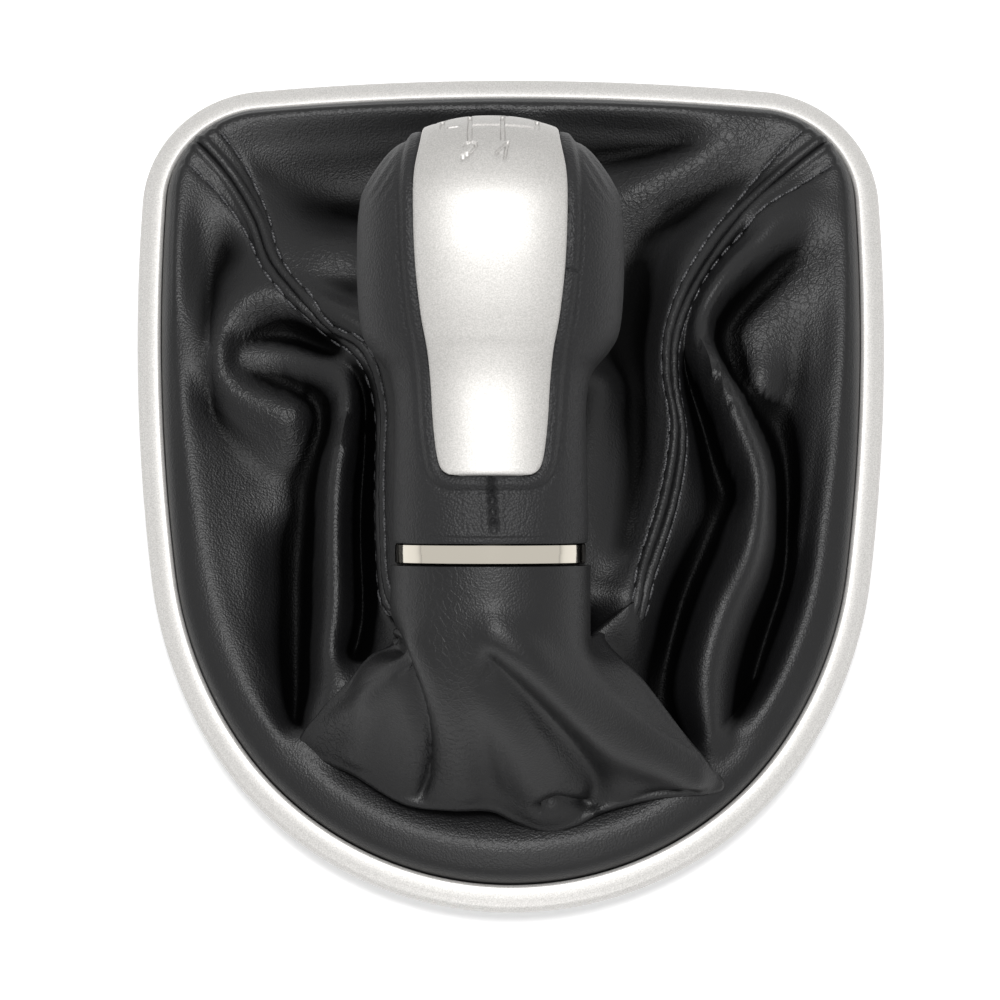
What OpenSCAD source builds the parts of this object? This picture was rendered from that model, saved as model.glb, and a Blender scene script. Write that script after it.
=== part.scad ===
// Gear shift knob with its leather gaiter and trim frame for a car's centre console.
// X is the car's right, Y its front and Z up; the frame's snap legs stand on Z = 0.
// The knob lies over towards the front, the way the loose set rests on a table.

/* [Trim frame] */
// Radius of the front edge of the trim frame
front_r = 560; // [500:10:640]
// Radius of the two long sides
side_r = 435; // [400:5:470]
// Radius where the sides turn in towards the rear
lower_r = 86; // [80:1:92]
// Radius of the round rear edge
rear_r = 70; // [66:1:74]
// Width of the silver rim seen from above
rim_w = 4.9; // [4:0.1:6]
// Height of the rim above the console
rim_h = 4.2; // [3.6:0.1:5]
// Height of the console clips below the rim
leg_h = 6; // [5:0.5:8]

/* [Knob] */
// Angle between the knob's axis and the level when it is laid over
rest_tilt = 15; // [10:1:20]
// Height of the collar ring's centre in the laid position
collar_z = 44; // [42:1:50]
// Diameter of the collar ring
ring_d = 36.3; // [34:0.1:38]
// Height of the collar ring
ring_h = 3.9; // [3:0.1:5]
// Thickness of the leather
leather_t = 1.1; // [0.9:0.1:1.3]

/* [Lever socket] */
// Diameter of the gear lever that enters the sleeve
lever_d = 12; // [10:0.5:13]
// Depth of the blind bore for the lever
bore_l = 60; // [50:1:62]

/* [Hidden] */

silver = "#d9d7d2";
chrome = "#c9c9cb";
black_plastic = "#2a2a2c";
gaiter_leather = "#242426";
grip_leather = "#3a3a3c";
zinc = "#9a9ca0";
steel = "#8d9094";

fit_gap = 0.3;
eps = 0.01;

// The rim's outline is one chain of tangent arcs, from the front centre clockwise
front_end = 84.6;
side_start = 2.5;
side_end = -8;
lower_end = -34;
corner_r = (-front_r * cos(front_end) + side_r * cos(side_start)
            - (side_r - lower_r) * cos(side_end) - (lower_r - rear_r) * cos(lower_end))
           / (cos(side_start) - cos(front_end));
half_l = (front_r - (front_r - corner_r) * sin(front_end) - (corner_r - side_r) * sin(side_start)
          - (side_r - lower_r) * sin(side_end) - (lower_r - rear_r) * sin(lower_end) + rear_r) / 2;

function along(a) = [cos(a), sin(a)];
front_c = [0, half_l - front_r];
corner_c = front_c + (front_r - corner_r) * along(front_end);
side_c = corner_c + (corner_r - side_r) * along(side_start);
lower_c = side_c + (side_r - lower_r) * along(side_end);
rear_c = [0, lower_c.y + (lower_r - rear_r) * sin(lower_end)];

// Each arc: centre, radius, first angle, last angle
ARCS = [[front_c, front_r, 90, front_end],
        [corner_c, corner_r, front_end, side_start],
        [side_c, side_r, side_start, side_end],
        [lower_c, lower_r, side_end, lower_end],
        [rear_c, rear_r, lower_end, -90]];
ARC_LENS = [for (a = ARCS) a[1] * (a[2] - a[3]) * PI / 180];
half_len = ARC_LENS * [1, 1, 1, 1, 1];

// Point on the right half of the outline, at a length from the front centre
function half_point(len, inset, i = 0) =
    i == 4 || len <= ARC_LENS[i]
    ? ARCS[i][0] + (ARCS[i][1] - inset) * along(ARCS[i][2] - len / ARCS[i][1] * 180 / PI)
    : half_point(len - ARC_LENS[i], inset, i + 1);

// Point on the whole outline, moved in by inset: s runs from 0 to 1 clockwise
function rim_point(s, inset) =
    let (turn = s - floor(s))
    turn <= 0.5
    ? half_point(2 * turn * half_len, inset)
    : let (p = half_point(2 * (1 - turn) * half_len, inset)) [-p.x, p.y];

// Angle of the outward direction at s
function rim_angle(s) = let (v = rim_point(s, 0) - rim_point(s, 1)) atan2(v.y, v.x);

// Steps along each arc of the right half
ARC_STEPS = [4, 14, 8, 6, 10];

// The whole outline as points, moved in by inset, clockwise from the front centre
function right_half(inset) =
    [for (i = [0:4]) for (k = [0:ARC_STEPS[i] - 1])
        let (a = ARCS[i]) a[0] + (a[1] - inset) * along(a[2] + (a[3] - a[2]) * k / ARC_STEPS[i])];
function outline(inset) =
    let (half = right_half(inset), n = len(half))
    concat(half, [[0, rear_c.y - rear_r + inset]], [for (k = [n - 1:-1:1]) [-half[k].x, half[k].y]]);

// Flat band between two insets, standing on a height above the rim's foot
module band(out, in, low, high) {
    translate([0, 0, leg_h + low])
        linear_extrude(high - low)
            difference() {
                polygon(outline(out));
                polygon(outline(in));
            }
}

// Sweeps a section round the outline: its points are [inset, height above the rim's foot]
module rim_sweep(section) {
    n = len(section);
    loops = [for (p = section) outline(p[0])];
    count = len(loops[0]);
    points = [for (k = [0:count - 1]) for (j = [0:n - 1])
        [loops[j][k].x, loops[j][k].y, leg_h + section[j][1]]];
    tris = [for (k = [0:count - 1]) for (j = [0:n - 1])
        let (a = k * n, b = (k + 1) % count * n, m = (j + 1) % n)
        each [[a + j, a + m, b + m], [a + j, b + m, b + j]]];
    polyhedron(points, tris);
}

// Places its children at s on the outline: their X points outwards, their Z up
module on_rim(s, inset = 0) {
    p = rim_point(s, inset);
    translate([p.x, p.y, leg_h])
        rotate(rim_angle(s))
            children();
}

// Silver trim rim: an upside-down L whose skirt hides the carrier
skirt_t = 2;
cover_t = 1.9;
edge_r = 1.5;
bevel = 0.7;
BEZEL_SECTION = concat(
    [[0, 0]],
    [for (a = [0:20:80]) [edge_r - edge_r * cos(a), rim_h - 2.5 + edge_r * sin(a)]],
    [[rim_w - bevel, rim_h],
     [rim_w - 0.15, rim_h - 0.3],
     [rim_w, rim_h - 0.7],
     [rim_w, rim_h - cover_t],
     [skirt_t, rim_h - cover_t - 0.3],
     [skirt_t, 0]]);

module bezel() {
    color(silver)
        rim_sweep(BEZEL_SECTION);
}

// Black carrier: a seat rib on the console, a flange, and an upstand inside the gaiter
flange_out = skirt_t + 0.05;
flange_in = 10.5;
flange_low = 0.2;
flange_high = 1.5;
seat_in = 4.1;
corner_room = 0.45;
upstand_out = rim_w + 2 * fit_gap + leather_t + corner_room;
upstand_in = upstand_out + 1.4;
upstand_h = 4.2;

// Where the six console legs stand on the outline
LEGS = [0.93, 0.07, 0.77, 0.23, 0.6, 0.4];
leg_w = 11;
leg_t = 1.8;
leg_inset = 6.7;

// One leg with a gusset behind each side of its root
module leg() {
    translate([-leg_t / 2, -leg_w / 2, -leg_h])
        cube([leg_t, leg_w, leg_h + flange_low + eps]);
    for (y = [-leg_w / 2 + 1.4, leg_w / 2])
        translate([-leg_t / 2 + eps, y, flange_low + eps])
            rotate([90, 0, 0])
                linear_extrude(1.4)
                    polygon([[0, 0], [-1.4, 0], [0, -3.6]]);
}

module gaiter_carrier() {
    color(black_plastic) {
        band(flange_out, seat_in, 0, flange_low + eps);
        band(flange_out, flange_in, flange_low, flange_high);
        band(upstand_out, upstand_in, flange_high - eps, upstand_h);
        for (s = LEGS)
            on_rim(s, leg_inset)
                leg();
    }
}

// Turned-in hem of the gaiter, stapled flat under the flange and round its inner edge
hem_t = 0.9;
hem_out = 9.2;
module gaiter_hem() {
    color(gaiter_leather) {
        band(hem_out, flange_in + 0.05 + hem_t, flange_low - 0.05 - hem_t, flange_low - 0.05);
        band(flange_in + 0.05, flange_in + 0.05 + hem_t, flange_low - 0.05 - eps, flange_high);
    }
}

// Wire staples across the hem, between the legs
staple_count = 20;
staple_w = 6;
staple_wire = 0.6;
module hem_staples() {
    color(zinc)
        for (i = [0:staple_count - 1])
            on_rim((i + 0.5) / staple_count, 10)
                translate([-staple_wire / 2, -staple_w / 2, flange_low - 0.1 - hem_t - staple_wire])
                    cube([staple_wire, staple_w, staple_wire]);
}

// Spring clip: a strip bent over the leg's foot with a barb that bows outwards
clip_t = 0.45;
clip_w = 8;
module spring_clip(s) {
    x_in = leg_t / 2 + 0.02;
    color(steel)
        on_rim(s, leg_inset)
            translate([0, clip_w / 2, 0])
                rotate([90, 0, 0])
                    linear_extrude(clip_w)
                        polygon([[x_in, -1.0], [x_in + clip_t, -1.0], [x_in + 1.7, -2.9],
                                 [x_in + 0.7, -leg_h + 0.9], [x_in + 0.25, -leg_h + 0.9],
                                 [x_in + 1.15, -2.9], [x_in, -1.6]]);
}

// The knob's frame: its Z runs up the knob's axis and its -Y faces the shift pattern
collar = [-4, -23.7, collar_z];
axis_dir = [0, cos(rest_tilt), sin(rest_tilt)];
axis_up = [0, -sin(rest_tilt), cos(rest_tilt)];
module at_collar() {
    translate(collar)
        rotate([rest_tilt - 90, 0, 0])
            children();
}

// Point on the gaiter's neck, t below the collar ring and turned by psi from its underside
neck_r = ring_d / 2 + 0.3;
function neck_point(t, psi, r) =
    collar - t * axis_dir + r * [sin(psi), 0, 0] - r * cos(psi) * axis_up;

// Smooth curve through points: p is the list, t runs from 0 to len - 1
function blend4(a, b, c, d, f) =
    b + f / 2 * ((c - a) + f * ((2 * a - 5 * b + 4 * c - d) + f * (3 * b - a - 3 * c + d)));
function on_curve(p, t) =
    let (n = len(p), i = min(n - 2, floor(t)))
    blend4(p[max(0, i - 1)], p[i], p[i + 1], p[min(n - 1, i + 2)], t - i);
function ease(x) = let (c = max(0, min(1, x))) c * c * (3 - 2 * c);

// The gaiter's stations, clockwise from the front: place on the rim, turn round the neck,
// and the edge of the apron that the leather folds down to before it runs out to the rim
STATIONS = [
    [0.000, 0, [-4, -38, 17]],
    [0.040, 20, [3, -38, 18]],
    [0.085, 38, [9, -38, 20]],
    [0.132, 55, [14, -39, 23]],
    [0.170, 68, [17, -38.5, 26]],
    [0.210, 78, [18, -37, 29]],
    [0.260, 86, [17.5, -35, 33]],
    [0.300, 94, [16.5, -33, 37]],
    [0.335, 102, [19, -39.5, 36]],
    [0.360, 110, [25, -46, 31]],
    [0.380, 118, [33, -55, 24]],
    [0.395, 126, [38, -60, 19]],
    [0.410, 134, [41, -63, 15]],
    [0.430, 142, [37.5, -64.5, 15]],
    [0.450, 152, [28, -65.5, 16]],
    [0.475, 164, [18, -68, 16]],
    [0.490, 172, [12, -71, 15]],
    [0.503, 178, [7, -72, 14.5]],
    [0.517, 184, [1, -70, 15.5]],
    [0.530, 190, [-4, -68, 17]],
    [0.550, 200, [-12, -68, 18]],
    [0.570, 210, [-21, -66.5, 17]],
    [0.590, 220, [-31, -60.5, 16]],
    [0.605, 228, [-41, -55.5, 14]],
    [0.625, 236, [-37, -50, 20]],
    [0.650, 244, [-32, -46, 26]],
    [0.680, 252, [-26, -40.5, 32]],
    [0.710, 260, [-22, -38, 36]],
    [0.750, 268, [-23, -33, 38]],
    [0.800, 278, [-24, -34, 34]],
    [0.868, 300, [-20, -38, 25]],
    [0.910, 320, [-14, -38.5, 20]],
    [0.955, 340, [-9, -38, 18]]];
station_n = len(STATIONS);
right_seam_at = 3;
left_seam_at = 30;

// A station's values at a whole number, with the turn added past the end
function station(i) =
    let (k = i % station_n, j = k < 0 ? k + station_n : k, turns = floor(i / station_n), v = STATIONS[j])
    [v[0] + turns, v[1] + 360 * turns, v[2].x, v[2].y, v[2].z];
function station_at(u) =
    let (i = floor(u))
    blend4(station(i - 1), station(i), station(i + 1), station(i + 2), u - i);

// Plan of the two seams, from the roll's shoulder to under the neck
RIGHT_SEAM = [[57, 64.5], [49.5, 57.5], [42, 47.5], [36, 37.5], [32.5, 28], [31.5, 20], [32.5, 12.5],
              [33, 2.5], [31, -7.5], [27.5, -18.5], [24.5, -29], [21, -36], [11, -38]];
LEFT_SEAM = [[-57.5, 63], [-53, 56], [-50.5, 48.5], [-46, 39.5], [-38, 30.5], [-31, 24.5], [-26.5, 18],
             [-25.5, 8], [-25.5, -2], [-25.5, -10.5], [-24.5, -22], [-23, -31], [-17, -38]];

// Height lines of the crumpled leather: softness of the line, then its points
HEIGHT_LINES = [
    // right ridge, from the roll past the knob to the apron's right tip
    [4, [[60.5, 55, 16.3], [54.5, 50.5, 18.2], [49, 45, 20], [44.5, 39, 21.7], [40.5, 34, 23.2],
         [38, 29.5, 24.3], [37, 24.5, 25.3], [37.5, 20, 26], [40, 15.5, 26.5], [42.5, 10.5, 27],
         [45.5, 5.5, 27.3], [48, 0.5, 27.5], [49, -4, 27.5], [49, -8.5, 27], [49, -14.5, 26.5],
         [48, -19.5, 25.7], [46, -24, 24.7], [43, -28, 24], [40, -33, 23.5], [38, -38, 23],
         [37, -43.5, 22], [37, -49, 20.5], [38, -54.5, 18.5], [39, -59, 16]]],
    // foot of the right ridge, and the valley beside the right roll
    [0.6, [[59, 49, 14], [54, 45.5, 12.3], [49, 41, 11.5], [45.5, 36.5, 11.5], [41.5, 31.5, 12.5],
         [41, 27, 13.5], [43.5, 22, 13], [47, 16.5, 11], [50.5, 10.5, 9.5], [54, 4.5, 8.5],
         [55, -3.5, 8], [55, -12, 8], [54, -20, 8], [51, -28.5, 8], [49, -36.5, 8], [47.5, -44.5, 8.5],
         [45, -54, 9.5], [43, -59.5, 11]]],
    // crackled tongue right of it
    [4, [[63, 47, 15.2], [59.5, 43.5, 14.5], [55.5, 36.5, 14], [51.5, 29.5, 14], [47.5, 24, 14.5]]],
    // dark band between the tongue and the roll
    [1.5, [[60, 32.5, 12], [58.5, 23, 10.5], [57, 15, 9.2]]],
    // valley between the right seam and the ridge
    [0.6, [[47.5, 49, 16], [42.5, 43.5, 17.3], [38.5, 37, 19], [36, 30, 20], [34.5, 24.5, 20.5],
         [35.5, 19, 20.7], [37, 13, 20.7], [38.5, 7.5, 20.5], [40.5, 1.5, 20.3], [42.5, -3.5, 19.5],
         [45, -5, 19.3], [42.5, -9.5, 20.5], [38.5, -15, 20.3], [35.5, -21, 19.3], [33, -26.5, 18.3],
         [31, -34.5, 17.3], [30.5, -42.5, 16.5], [32, -48.5, 15.5], [35, -54.5, 14.5]]],
    // broad face left of the ridge's lower part
    [3, [[45.5, -12.5, 25.5], [43.5, -18, 24.5], [41, -24, 23.5]]],
    // right seam
    [2.5, [[59, 66.5, 15], [55, 62.5, 15], [49.5, 58, 15.5], [46, 53, 16.5], [42.5, 48, 18],
         [39, 43.5, 19.5], [36, 38, 21], [34, 33, 22], [32.5, 28.5, 22.7], [31.5, 23, 23.3],
         [31.5, 18, 23.6], [32.5, 12.5, 23.8], [33, 7.5, 24], [33.5, 3, 24], [32.5, -3.5, 24.5],
         [31, -7.5, 25], [29, -13.5, 25.5], [27.5, -18.5, 26], [26, -24, 26.5], [24.5, -29, 27],
         [22.5, -34, 27]]],
    // valley between the right seam and the knob
    [2, [[27.5, 52.5, 8.5], [28, 44.5, 9.5], [28, 35.5, 11], [27, 26.5, 13], [26, 15, 15.5],
         [25, 4, 18], [24.5, -7, 20], [23, -17.5, 22.5]]],
    // plateau beside the knob's neck
    [2.5, [[18.5, 15.5, 24.5], [18, 6, 26], [17.5, -5, 27.5], [17.5, -15, 28.5], [17.5, -25.5, 29]]],
    // lit fold behind the knob on the right
    [2.5, [[47.5, 72.5, 15.6], [43, 70, 15], [38.5, 68, 14.3], [33.5, 65, 13.5], [27.5, 61.5, 12.5],
         [22, 59, 11]]],
    // behind that fold
    [1.5, [[10, 70.5, 10], [20.5, 71, 9.5], [29.5, 71, 10], [37, 72, 11.5]]],
    // crease below that fold
    [0.8, [[48.5, 69, 13], [44, 66, 10.5], [39, 62, 8.5], [34, 57.5, 8]]],
    // left ridge beside the knob, from the hollow's inner fold to the apron's left tip
    [3, [[-56, 25, 14.8], [-50, 25, 15], [-43, 24, 15.8], [-38, 22, 18], [-34, 18.5, 20.5],
         [-32, 14.5, 22.2], [-32, 10, 23], [-32.5, 4.5, 23.4], [-34, -1.5, 23.5], [-34.5, -8, 23.5],
         [-34.5, -16, 23.5], [-34, -24, 23.2], [-34.5, -31.5, 22.5], [-35.5, -39.5, 21.4],
         [-37, -45, 20], [-39, -50, 17.5]]],
    // crease at the left foot of that ridge
    [0.4, [[-36, 8.5, 16], [-38, 5, 12.8], [-39.5, 0.5, 11], [-40, -5, 9.8], [-40, -13, 9],
         [-40.5, -21.5, 8.8], [-40.5, -29.5, 8.8], [-41, -37.5, 9], [-41.5, -45, 9.5],
         [-42, -50, 10.5]]],
    // slope from the left roll
    [6, [[-51, -5, 12.8], [-50.5, -13, 13.2], [-50, -21.5, 13.4], [-49, -29.5, 13.4],
         [-48, -37.5, 13.4], [-46, -44.5, 13.4]]],
    // curled ridge round the left hollow
    [2.5, [[-45.5, 35, 17.7], [-50, 34.5, 17.3], [-54.5, 33, 16.8], [-58, 30.5, 16.4], [-60, 26.5, 16.2],
         [-60, 23, 16.2], [-58, 19, 16.5], [-55, 16.5, 16.8], [-50, 15.5, 17], [-44.5, 14, 17.2],
         [-39, 12, 17.5]]],
    // floor of the left hollow above its inner fold
    [2.5, [[-55.5, 28, 14.2], [-50.5, 29.5, 13.4], [-43.5, 29.5, 13.6], [-37.5, 25.5, 15.5]]],
    // floor of the left hollow below its inner fold
    [2.5, [[-55.5, 22.5, 14], [-50, 20.5, 13.2], [-44, 19, 13.2], [-38, 16.5, 14.5]]],
    // lit slope below the curl
    [4, [[-50, 9.5, 14.3], [-45, 7, 14.7], [-41, 4.5, 14]]],
    // flat dark floor below that slope
    [4, [[-47.5, -0.5, 10.5], [-44, -5, 10]]],
    // valley between the left roll and the curl
    [1.2, [[-58.5, 51.5, 11], [-61, 46.5, 9], [-62, 39.5, 9], [-63, 32, 9.5], [-62.5, 24.5, 9.5],
         [-60.5, 17, 9.8], [-57.5, 10.5, 10.3], [-54, 4.5, 11]]],
    // dark hollow at the upper left
    [3, [[-56, 48, 9], [-57.5, 43, 9.5]]],
    // left seam
    [2.5, [[-61, 67, 15], [-58, 64, 15], [-55, 60.5, 15], [-53, 56.5, 15], [-50.5, 49, 15.5],
         [-48.5, 45, 16.3], [-46, 40, 17.5], [-42.5, 35, 19], [-38, 31, 20.5], [-33.5, 27.5, 22],
         [-31, 25, 22.8], [-28, 22, 23.3], [-26.5, 18.5, 23.6], [-25.5, 12.5, 23.8], [-25.5, 6.5, 24],
         [-25.5, -2, 24.3], [-25.5, -10, 24.7], [-25, -18.5, 25], [-24, -26.5, 25.5],
         [-23.5, -33.5, 26]]],
    // valley between the left seam and the left ridge
    [0.6, [[-31.5, 21, 19.5], [-29.5, 15.5, 18.5], [-29, 8, 18], [-29.5, 0, 17.7], [-29.5, -8.5, 17.7],
         [-29.5, -16.5, 17.7], [-29.5, -24.5, 17.7], [-29.5, -31.5, 17.5], [-31, -37.5, 17]]],
    // front panel left of the knob
    [3, [[-51, 67, 13], [-41.5, 70.5, 11.2], [-33, 71, 10.8], [-23, 71, 10.5], [-14.5, 70.5, 10]]],
    // front panel further up
    [5, [[-45, 61, 12.3], [-37, 60, 12.5], [-24.5, 58.5, 12.5]]],
    // lit bulge left of the knob
    [4, [[-42, 44, 17], [-38, 45, 17.5], [-33.5, 44.5, 17]]],
    // hollow beside that bulge
    [3, [[-33.5, 36, 16.5], [-32.5, 51.5, 15]]],
    // level of the leather under the knob
    [6, [[-4.5, 70, 9.5], [-4, 54.5, 12.5], [-4, 31.5, 16.5], [-4, 5.5, 20]]]];

// Creases and ridges of the apron: amount, half width, points in plan
APRON_STROKES = [
    // crease beside the left wedge, then the soft ridge to its right
    [-2.6, 2.4, [[-23.5, -37], [-21.5, -42], [-19.5, -47], [-17.5, -52], [-16, -57], [-16, -62], [-17.5, -66]]],
    [1.0, 3.0, [[-17, -42], [-13.5, -50], [-10.5, -58], [-9, -65]]],
    // ridge from the neck to the right tip, then the valley below it
    [2.6, 3.2, [[-3, -42], [3, -46], [8.5, -50.5], [14, -54.5], [20, -57.5], [28, -59.5], [35, -61.5]]],
    [-2.6, 2.8, [[-4, -48], [2, -52], [8, -56], [13, -60], [16.5, -64], [16, -68]]],
    // swell in the middle of the front, then the pleat at the edge
    [1.3, 5.0, [[-5, -53], [0, -58], [5, -64]]],
    [-1.8, 1.6, [[5.5, -67.5], [8, -66.5], [12, -67], [16, -68], [21, -67.5], [28, -65], [35, -64]]]];

// Squared distance and height of the nearest point of one stretch of a line
function near_stretch(p, a, b) =
    let (ab = [b.x - a.x, b.y - a.y],
         f = max(0, min(1, ([p.x - a.x, p.y - a.y] * ab) / (ab * ab))),
         d = [p.x - a.x, p.y - a.y] - f * ab)
    [d * d, len(a) > 2 ? a.z + f * (b.z - a.z) : 0];
function near_line(p, line) =
    let (all = [for (i = [0:len(line) - 2]) near_stretch(p, line[i], line[i + 1])],
         d = min([for (a = all) a[0]]))
    [for (a = all) if (a[0] == d) a][0];

// Height of the folds at a plan point: each line pulls the leather to its own height, and the
// pull fades quickly with the distance from the line
function leather_z(p) =
    let (pulls = [for (g = HEIGHT_LINES)
                    let (n = near_line(p, g[1]), w = (n[0] + 0.4 * g[0] * g[0]) ^ -3)
                    [w, w * n[1]]],
         ones = [for (w = pulls) 1],
         sum = ones * pulls)
    sum[1] / sum[0];

// How far the strokes press the apron out at a plan point
function stroke_lift(p) =
    let (each_one = [for (g = APRON_STROKES) g[0] * exp(-near_line(p, g[2])[0] / (g[1] * g[1]))],
         ones = [for (v = each_one) 1])
    ones * each_one;

// The roll along the rim: inset and height of its crest, wider round the rear
roll_crest = 9.2;
roll_z = 15.4;
tuck_in = rim_w + 0.35 + leather_t / 2;
function roll_in(s) = roll_crest + 2.9 * ease((abs(s - round(s)) - 0.17) / 0.18);
// From the crest to the row where the folds start, and how far the roll holds them up
shoulder = 4;
roll_reach = 9;

// The under side of the apron's fold
apron_core = [-4, -33];
fold_t = 6;
function under_point(e) =
    let (p = apron_core + 0.8 * ([e.x, e.y] - apron_core)) [p.x, p.y, e.z - fold_t];

// Plan point of the folds at column u: v runs from the roll's shoulder to under the apron
function chord(u, v) =
    let (st = station_at(u),
         start = rim_point(st[0], roll_in(st[0]) + shoulder),
         end = under_point([st[2], st[3], st[4]]))
    start + v * ([end.x, end.y] - start);
function seam_pull(u, v, seam, at) =
    let (away = min(abs(u - at), abs(u - at + station_n), abs(u - at - station_n)))
    ease(1 - away / 4.2) * (on_curve(seam, v * (len(seam) - 1)) - chord(at, v));
function fold_plan(u, v) =
    chord(u, v) + seam_pull(u, v, RIGHT_SEAM, right_seam_at) + seam_pull(u, v, LEFT_SEAM, left_seam_at);

fold_rows = 11;
apron_rows = 5;
function bezier(a, b, c, d, f) =
    (1 - f) ^ 3 * a + 3 * (1 - f) ^ 2 * f * b + 3 * (1 - f) * f * f * c + f ^ 3 * d;
// Share of the station that faces the rear, where the apron hangs over: 0 to 1
function rearward(psi) = ease((1 - cos(psi)) / 2 * 1.6 - 0.5);

function column(u) =
    let (st = station_at(u),
         s = st[0],
         psi = st[1],
         edge = [st[2], st[3], st[4]],
         under = under_point(edge),
         crest = roll_in(s),
         inward = let (v = [apron_core.x - edge.x, apron_core.y - edge.y]) v / max(4, norm(v)),
         rim = function(inset, z) let (p = rim_point(s, inset)) [p.x, p.y, leg_h + z],
         hang = rearward(psi),
         neck = neck_point(15, psi, neck_r),
         lip = edge + [(0.2 + 1.4 * hang) * inward.x, (0.2 + 1.4 * hang) * inward.y, 1.7],
         toe = edge + [8 * hang * inward.x, 8 * hang * inward.y, 2 + 4 * hang],
         knee = neck - (2 + 8 * hang) * axis_dir)
    concat(
        [rim(tuck_in, 1.9), rim(tuck_in - 0.1, 4.4), rim(tuck_in + 0.7, 7.1),
         rim(tuck_in + 0.5 * (crest - tuck_in), 8.7), rim(crest, roll_z - leg_h)],
        [for (j = [0:fold_rows])
            let (v = j / fold_rows,
                 p = fold_plan(u, v),
                 h = leather_z(p),
                 to_rim = ease(1 - norm(p - fold_plan(u, 0)) / roll_reach),
                 to_under = ease((v - 0.72) / 0.28),
                 z1 = h + to_rim * (roll_z - 0.6 - h))
            [p.x, p.y, z1 + to_under * (under.z - z1)]],
        [under + [0.75 * (edge.x - under.x), 0.75 * (edge.y - under.y), 2.2],
         edge,
         lip + [0, 0, 0.5 * stroke_lift(lip)]],
        [for (j = [1:apron_rows])
            let (p = bezier(lip, toe, knee, neck, j / apron_rows))
            p + [0, 0, j < apron_rows ? stroke_lift(p) : 0]],
        [neck_point(8, psi, neck_r), neck_point(ring_h / 2 + fit_gap, psi, neck_r)]);

// One panel of the leather between two columns: a closed skin with its inner side below
// More columns where folds stand across, fewer under the apron
function per_station(k) = let (j = k % station_n) j >= 13 && j < 22 ? 2 : j >= 2 && j < 31 ? 4 : 3;
module panel(from, to) {
    places = [for (k = [from:to - 1]) for (i = [0:per_station(k + station_n) - 1])
        k + i / per_station(k + station_n)];
    cols = len(places);
    grid = [for (u = concat([from - 0.25], places, [to, to + 0.25])) column(u)];
    rows = len(grid[0]);
    // outward normal from the neighbouring points
    normal = function(i, j)
        let (du = grid[i + 1][j] - grid[i - 1][j],
             dv = grid[i][min(rows - 1, j + 1)] - grid[i][max(0, j - 1)],
             n = cross(dv, du))
        n / max(1e-6, norm(n));
    outer = [for (i = [1:cols + 1]) for (j = [0:rows - 1]) grid[i][j] + leather_t / 2 * normal(i, j)];
    inner = [for (i = [1:cols + 1]) for (j = [0:rows - 1]) grid[i][j] - leather_t / 2 * normal(i, j)];
    n = (cols + 1) * rows;
    at = function(i, j, side) side * n + i * rows + j;
    quads = [for (i = [0:cols - 1]) for (j = [0:rows - 2])
        [at(i, j, 0), at(i, j + 1, 0), at(i + 1, j + 1, 0), at(i + 1, j, 0)]];
    under = [for (i = [0:cols - 1]) for (j = [0:rows - 2])
        [at(i, j, 1), at(i + 1, j, 1), at(i + 1, j + 1, 1), at(i, j + 1, 1)]];
    rim = [for (i = [0:cols - 1]) each [
        [at(i, 0, 0), at(i + 1, 0, 0), at(i + 1, 0, 1), at(i, 0, 1)],
        [at(i, rows - 1, 0), at(i, rows - 1, 1), at(i + 1, rows - 1, 1), at(i + 1, rows - 1, 0)]]];
    ends = [for (j = [0:rows - 2]) each [
        [at(0, j, 0), at(0, j, 1), at(0, j + 1, 1), at(0, j + 1, 0)],
        [at(cols, j, 0), at(cols, j + 1, 0), at(cols, j + 1, 1), at(cols, j, 1)]]];
    tri = [for (q = concat(quads, under, rim, ends)) each [[q[0], q[1], q[2]], [q[0], q[2], q[3]]]];
    polyhedron(concat(outer, inner), tri);
}

// The panel towards the rear, from seam to seam round the left and right sides
module rear_panel() {
    color(gaiter_leather)
        panel(right_seam_at, left_seam_at);
}

// The panel towards the front, under the knob's head
module front_panel() {
    color(gaiter_leather)
        panel(left_seam_at - station_n, right_seam_at);
}

// Cross-sections of the grip, up its axis: height above the ring's centre, half width,
// depth towards the shift pattern and depth towards the back
GRIP = [
    [2.1, 17.9, 17.7, 17.9],
    [3.0, 18.5, 18.1, 18.4],
    [12, 18.4, 17.5, 18.0],
    [25, 18.1, 16.8, 17.3],
    [30.6, 18.4, 16.6, 17.3],
    [34.4, 19.5, 16.9, 18.0],
    [38, 22.4, 17.8, 19.0],
    [41.5, 24.3, 19.1, 20.0],
    [47.8, 25.1, 20.9, 21.1],
    [56, 25.3, 21.8, 21.5],
    [64, 25.0, 21.1, 21.0],
    [69, 23.9, 19.7, 19.8],
    [74, 20.7, 16.9, 17.0],
    [77, 17.6, 14.1, 14.2],
    [79.4, 13.9, 11.0, 11.1],
    [81.2, 9.0, 7.1, 7.1],
    [82.1, 4.6, 3.6, 3.6]];
grip_top = 82.4;
grip_sides = 32;
squareness = 2.3;
function bulge(c) = sign(c) * abs(c) ^ (2 / squareness);
function grip_ring(g, grow) =
    [for (k = [0:grip_sides - 1])
        let (a = 360 * k / grip_sides, x = bulge(cos(a)), y = bulge(sin(a)))
        [x * (g[1] + grow), y * ((y < 0 ? g[2] : g[3]) + grow), g[0] + (g[0] > 60 ? grow * (g[0] - 60) / 22 : 0)]];

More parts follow.
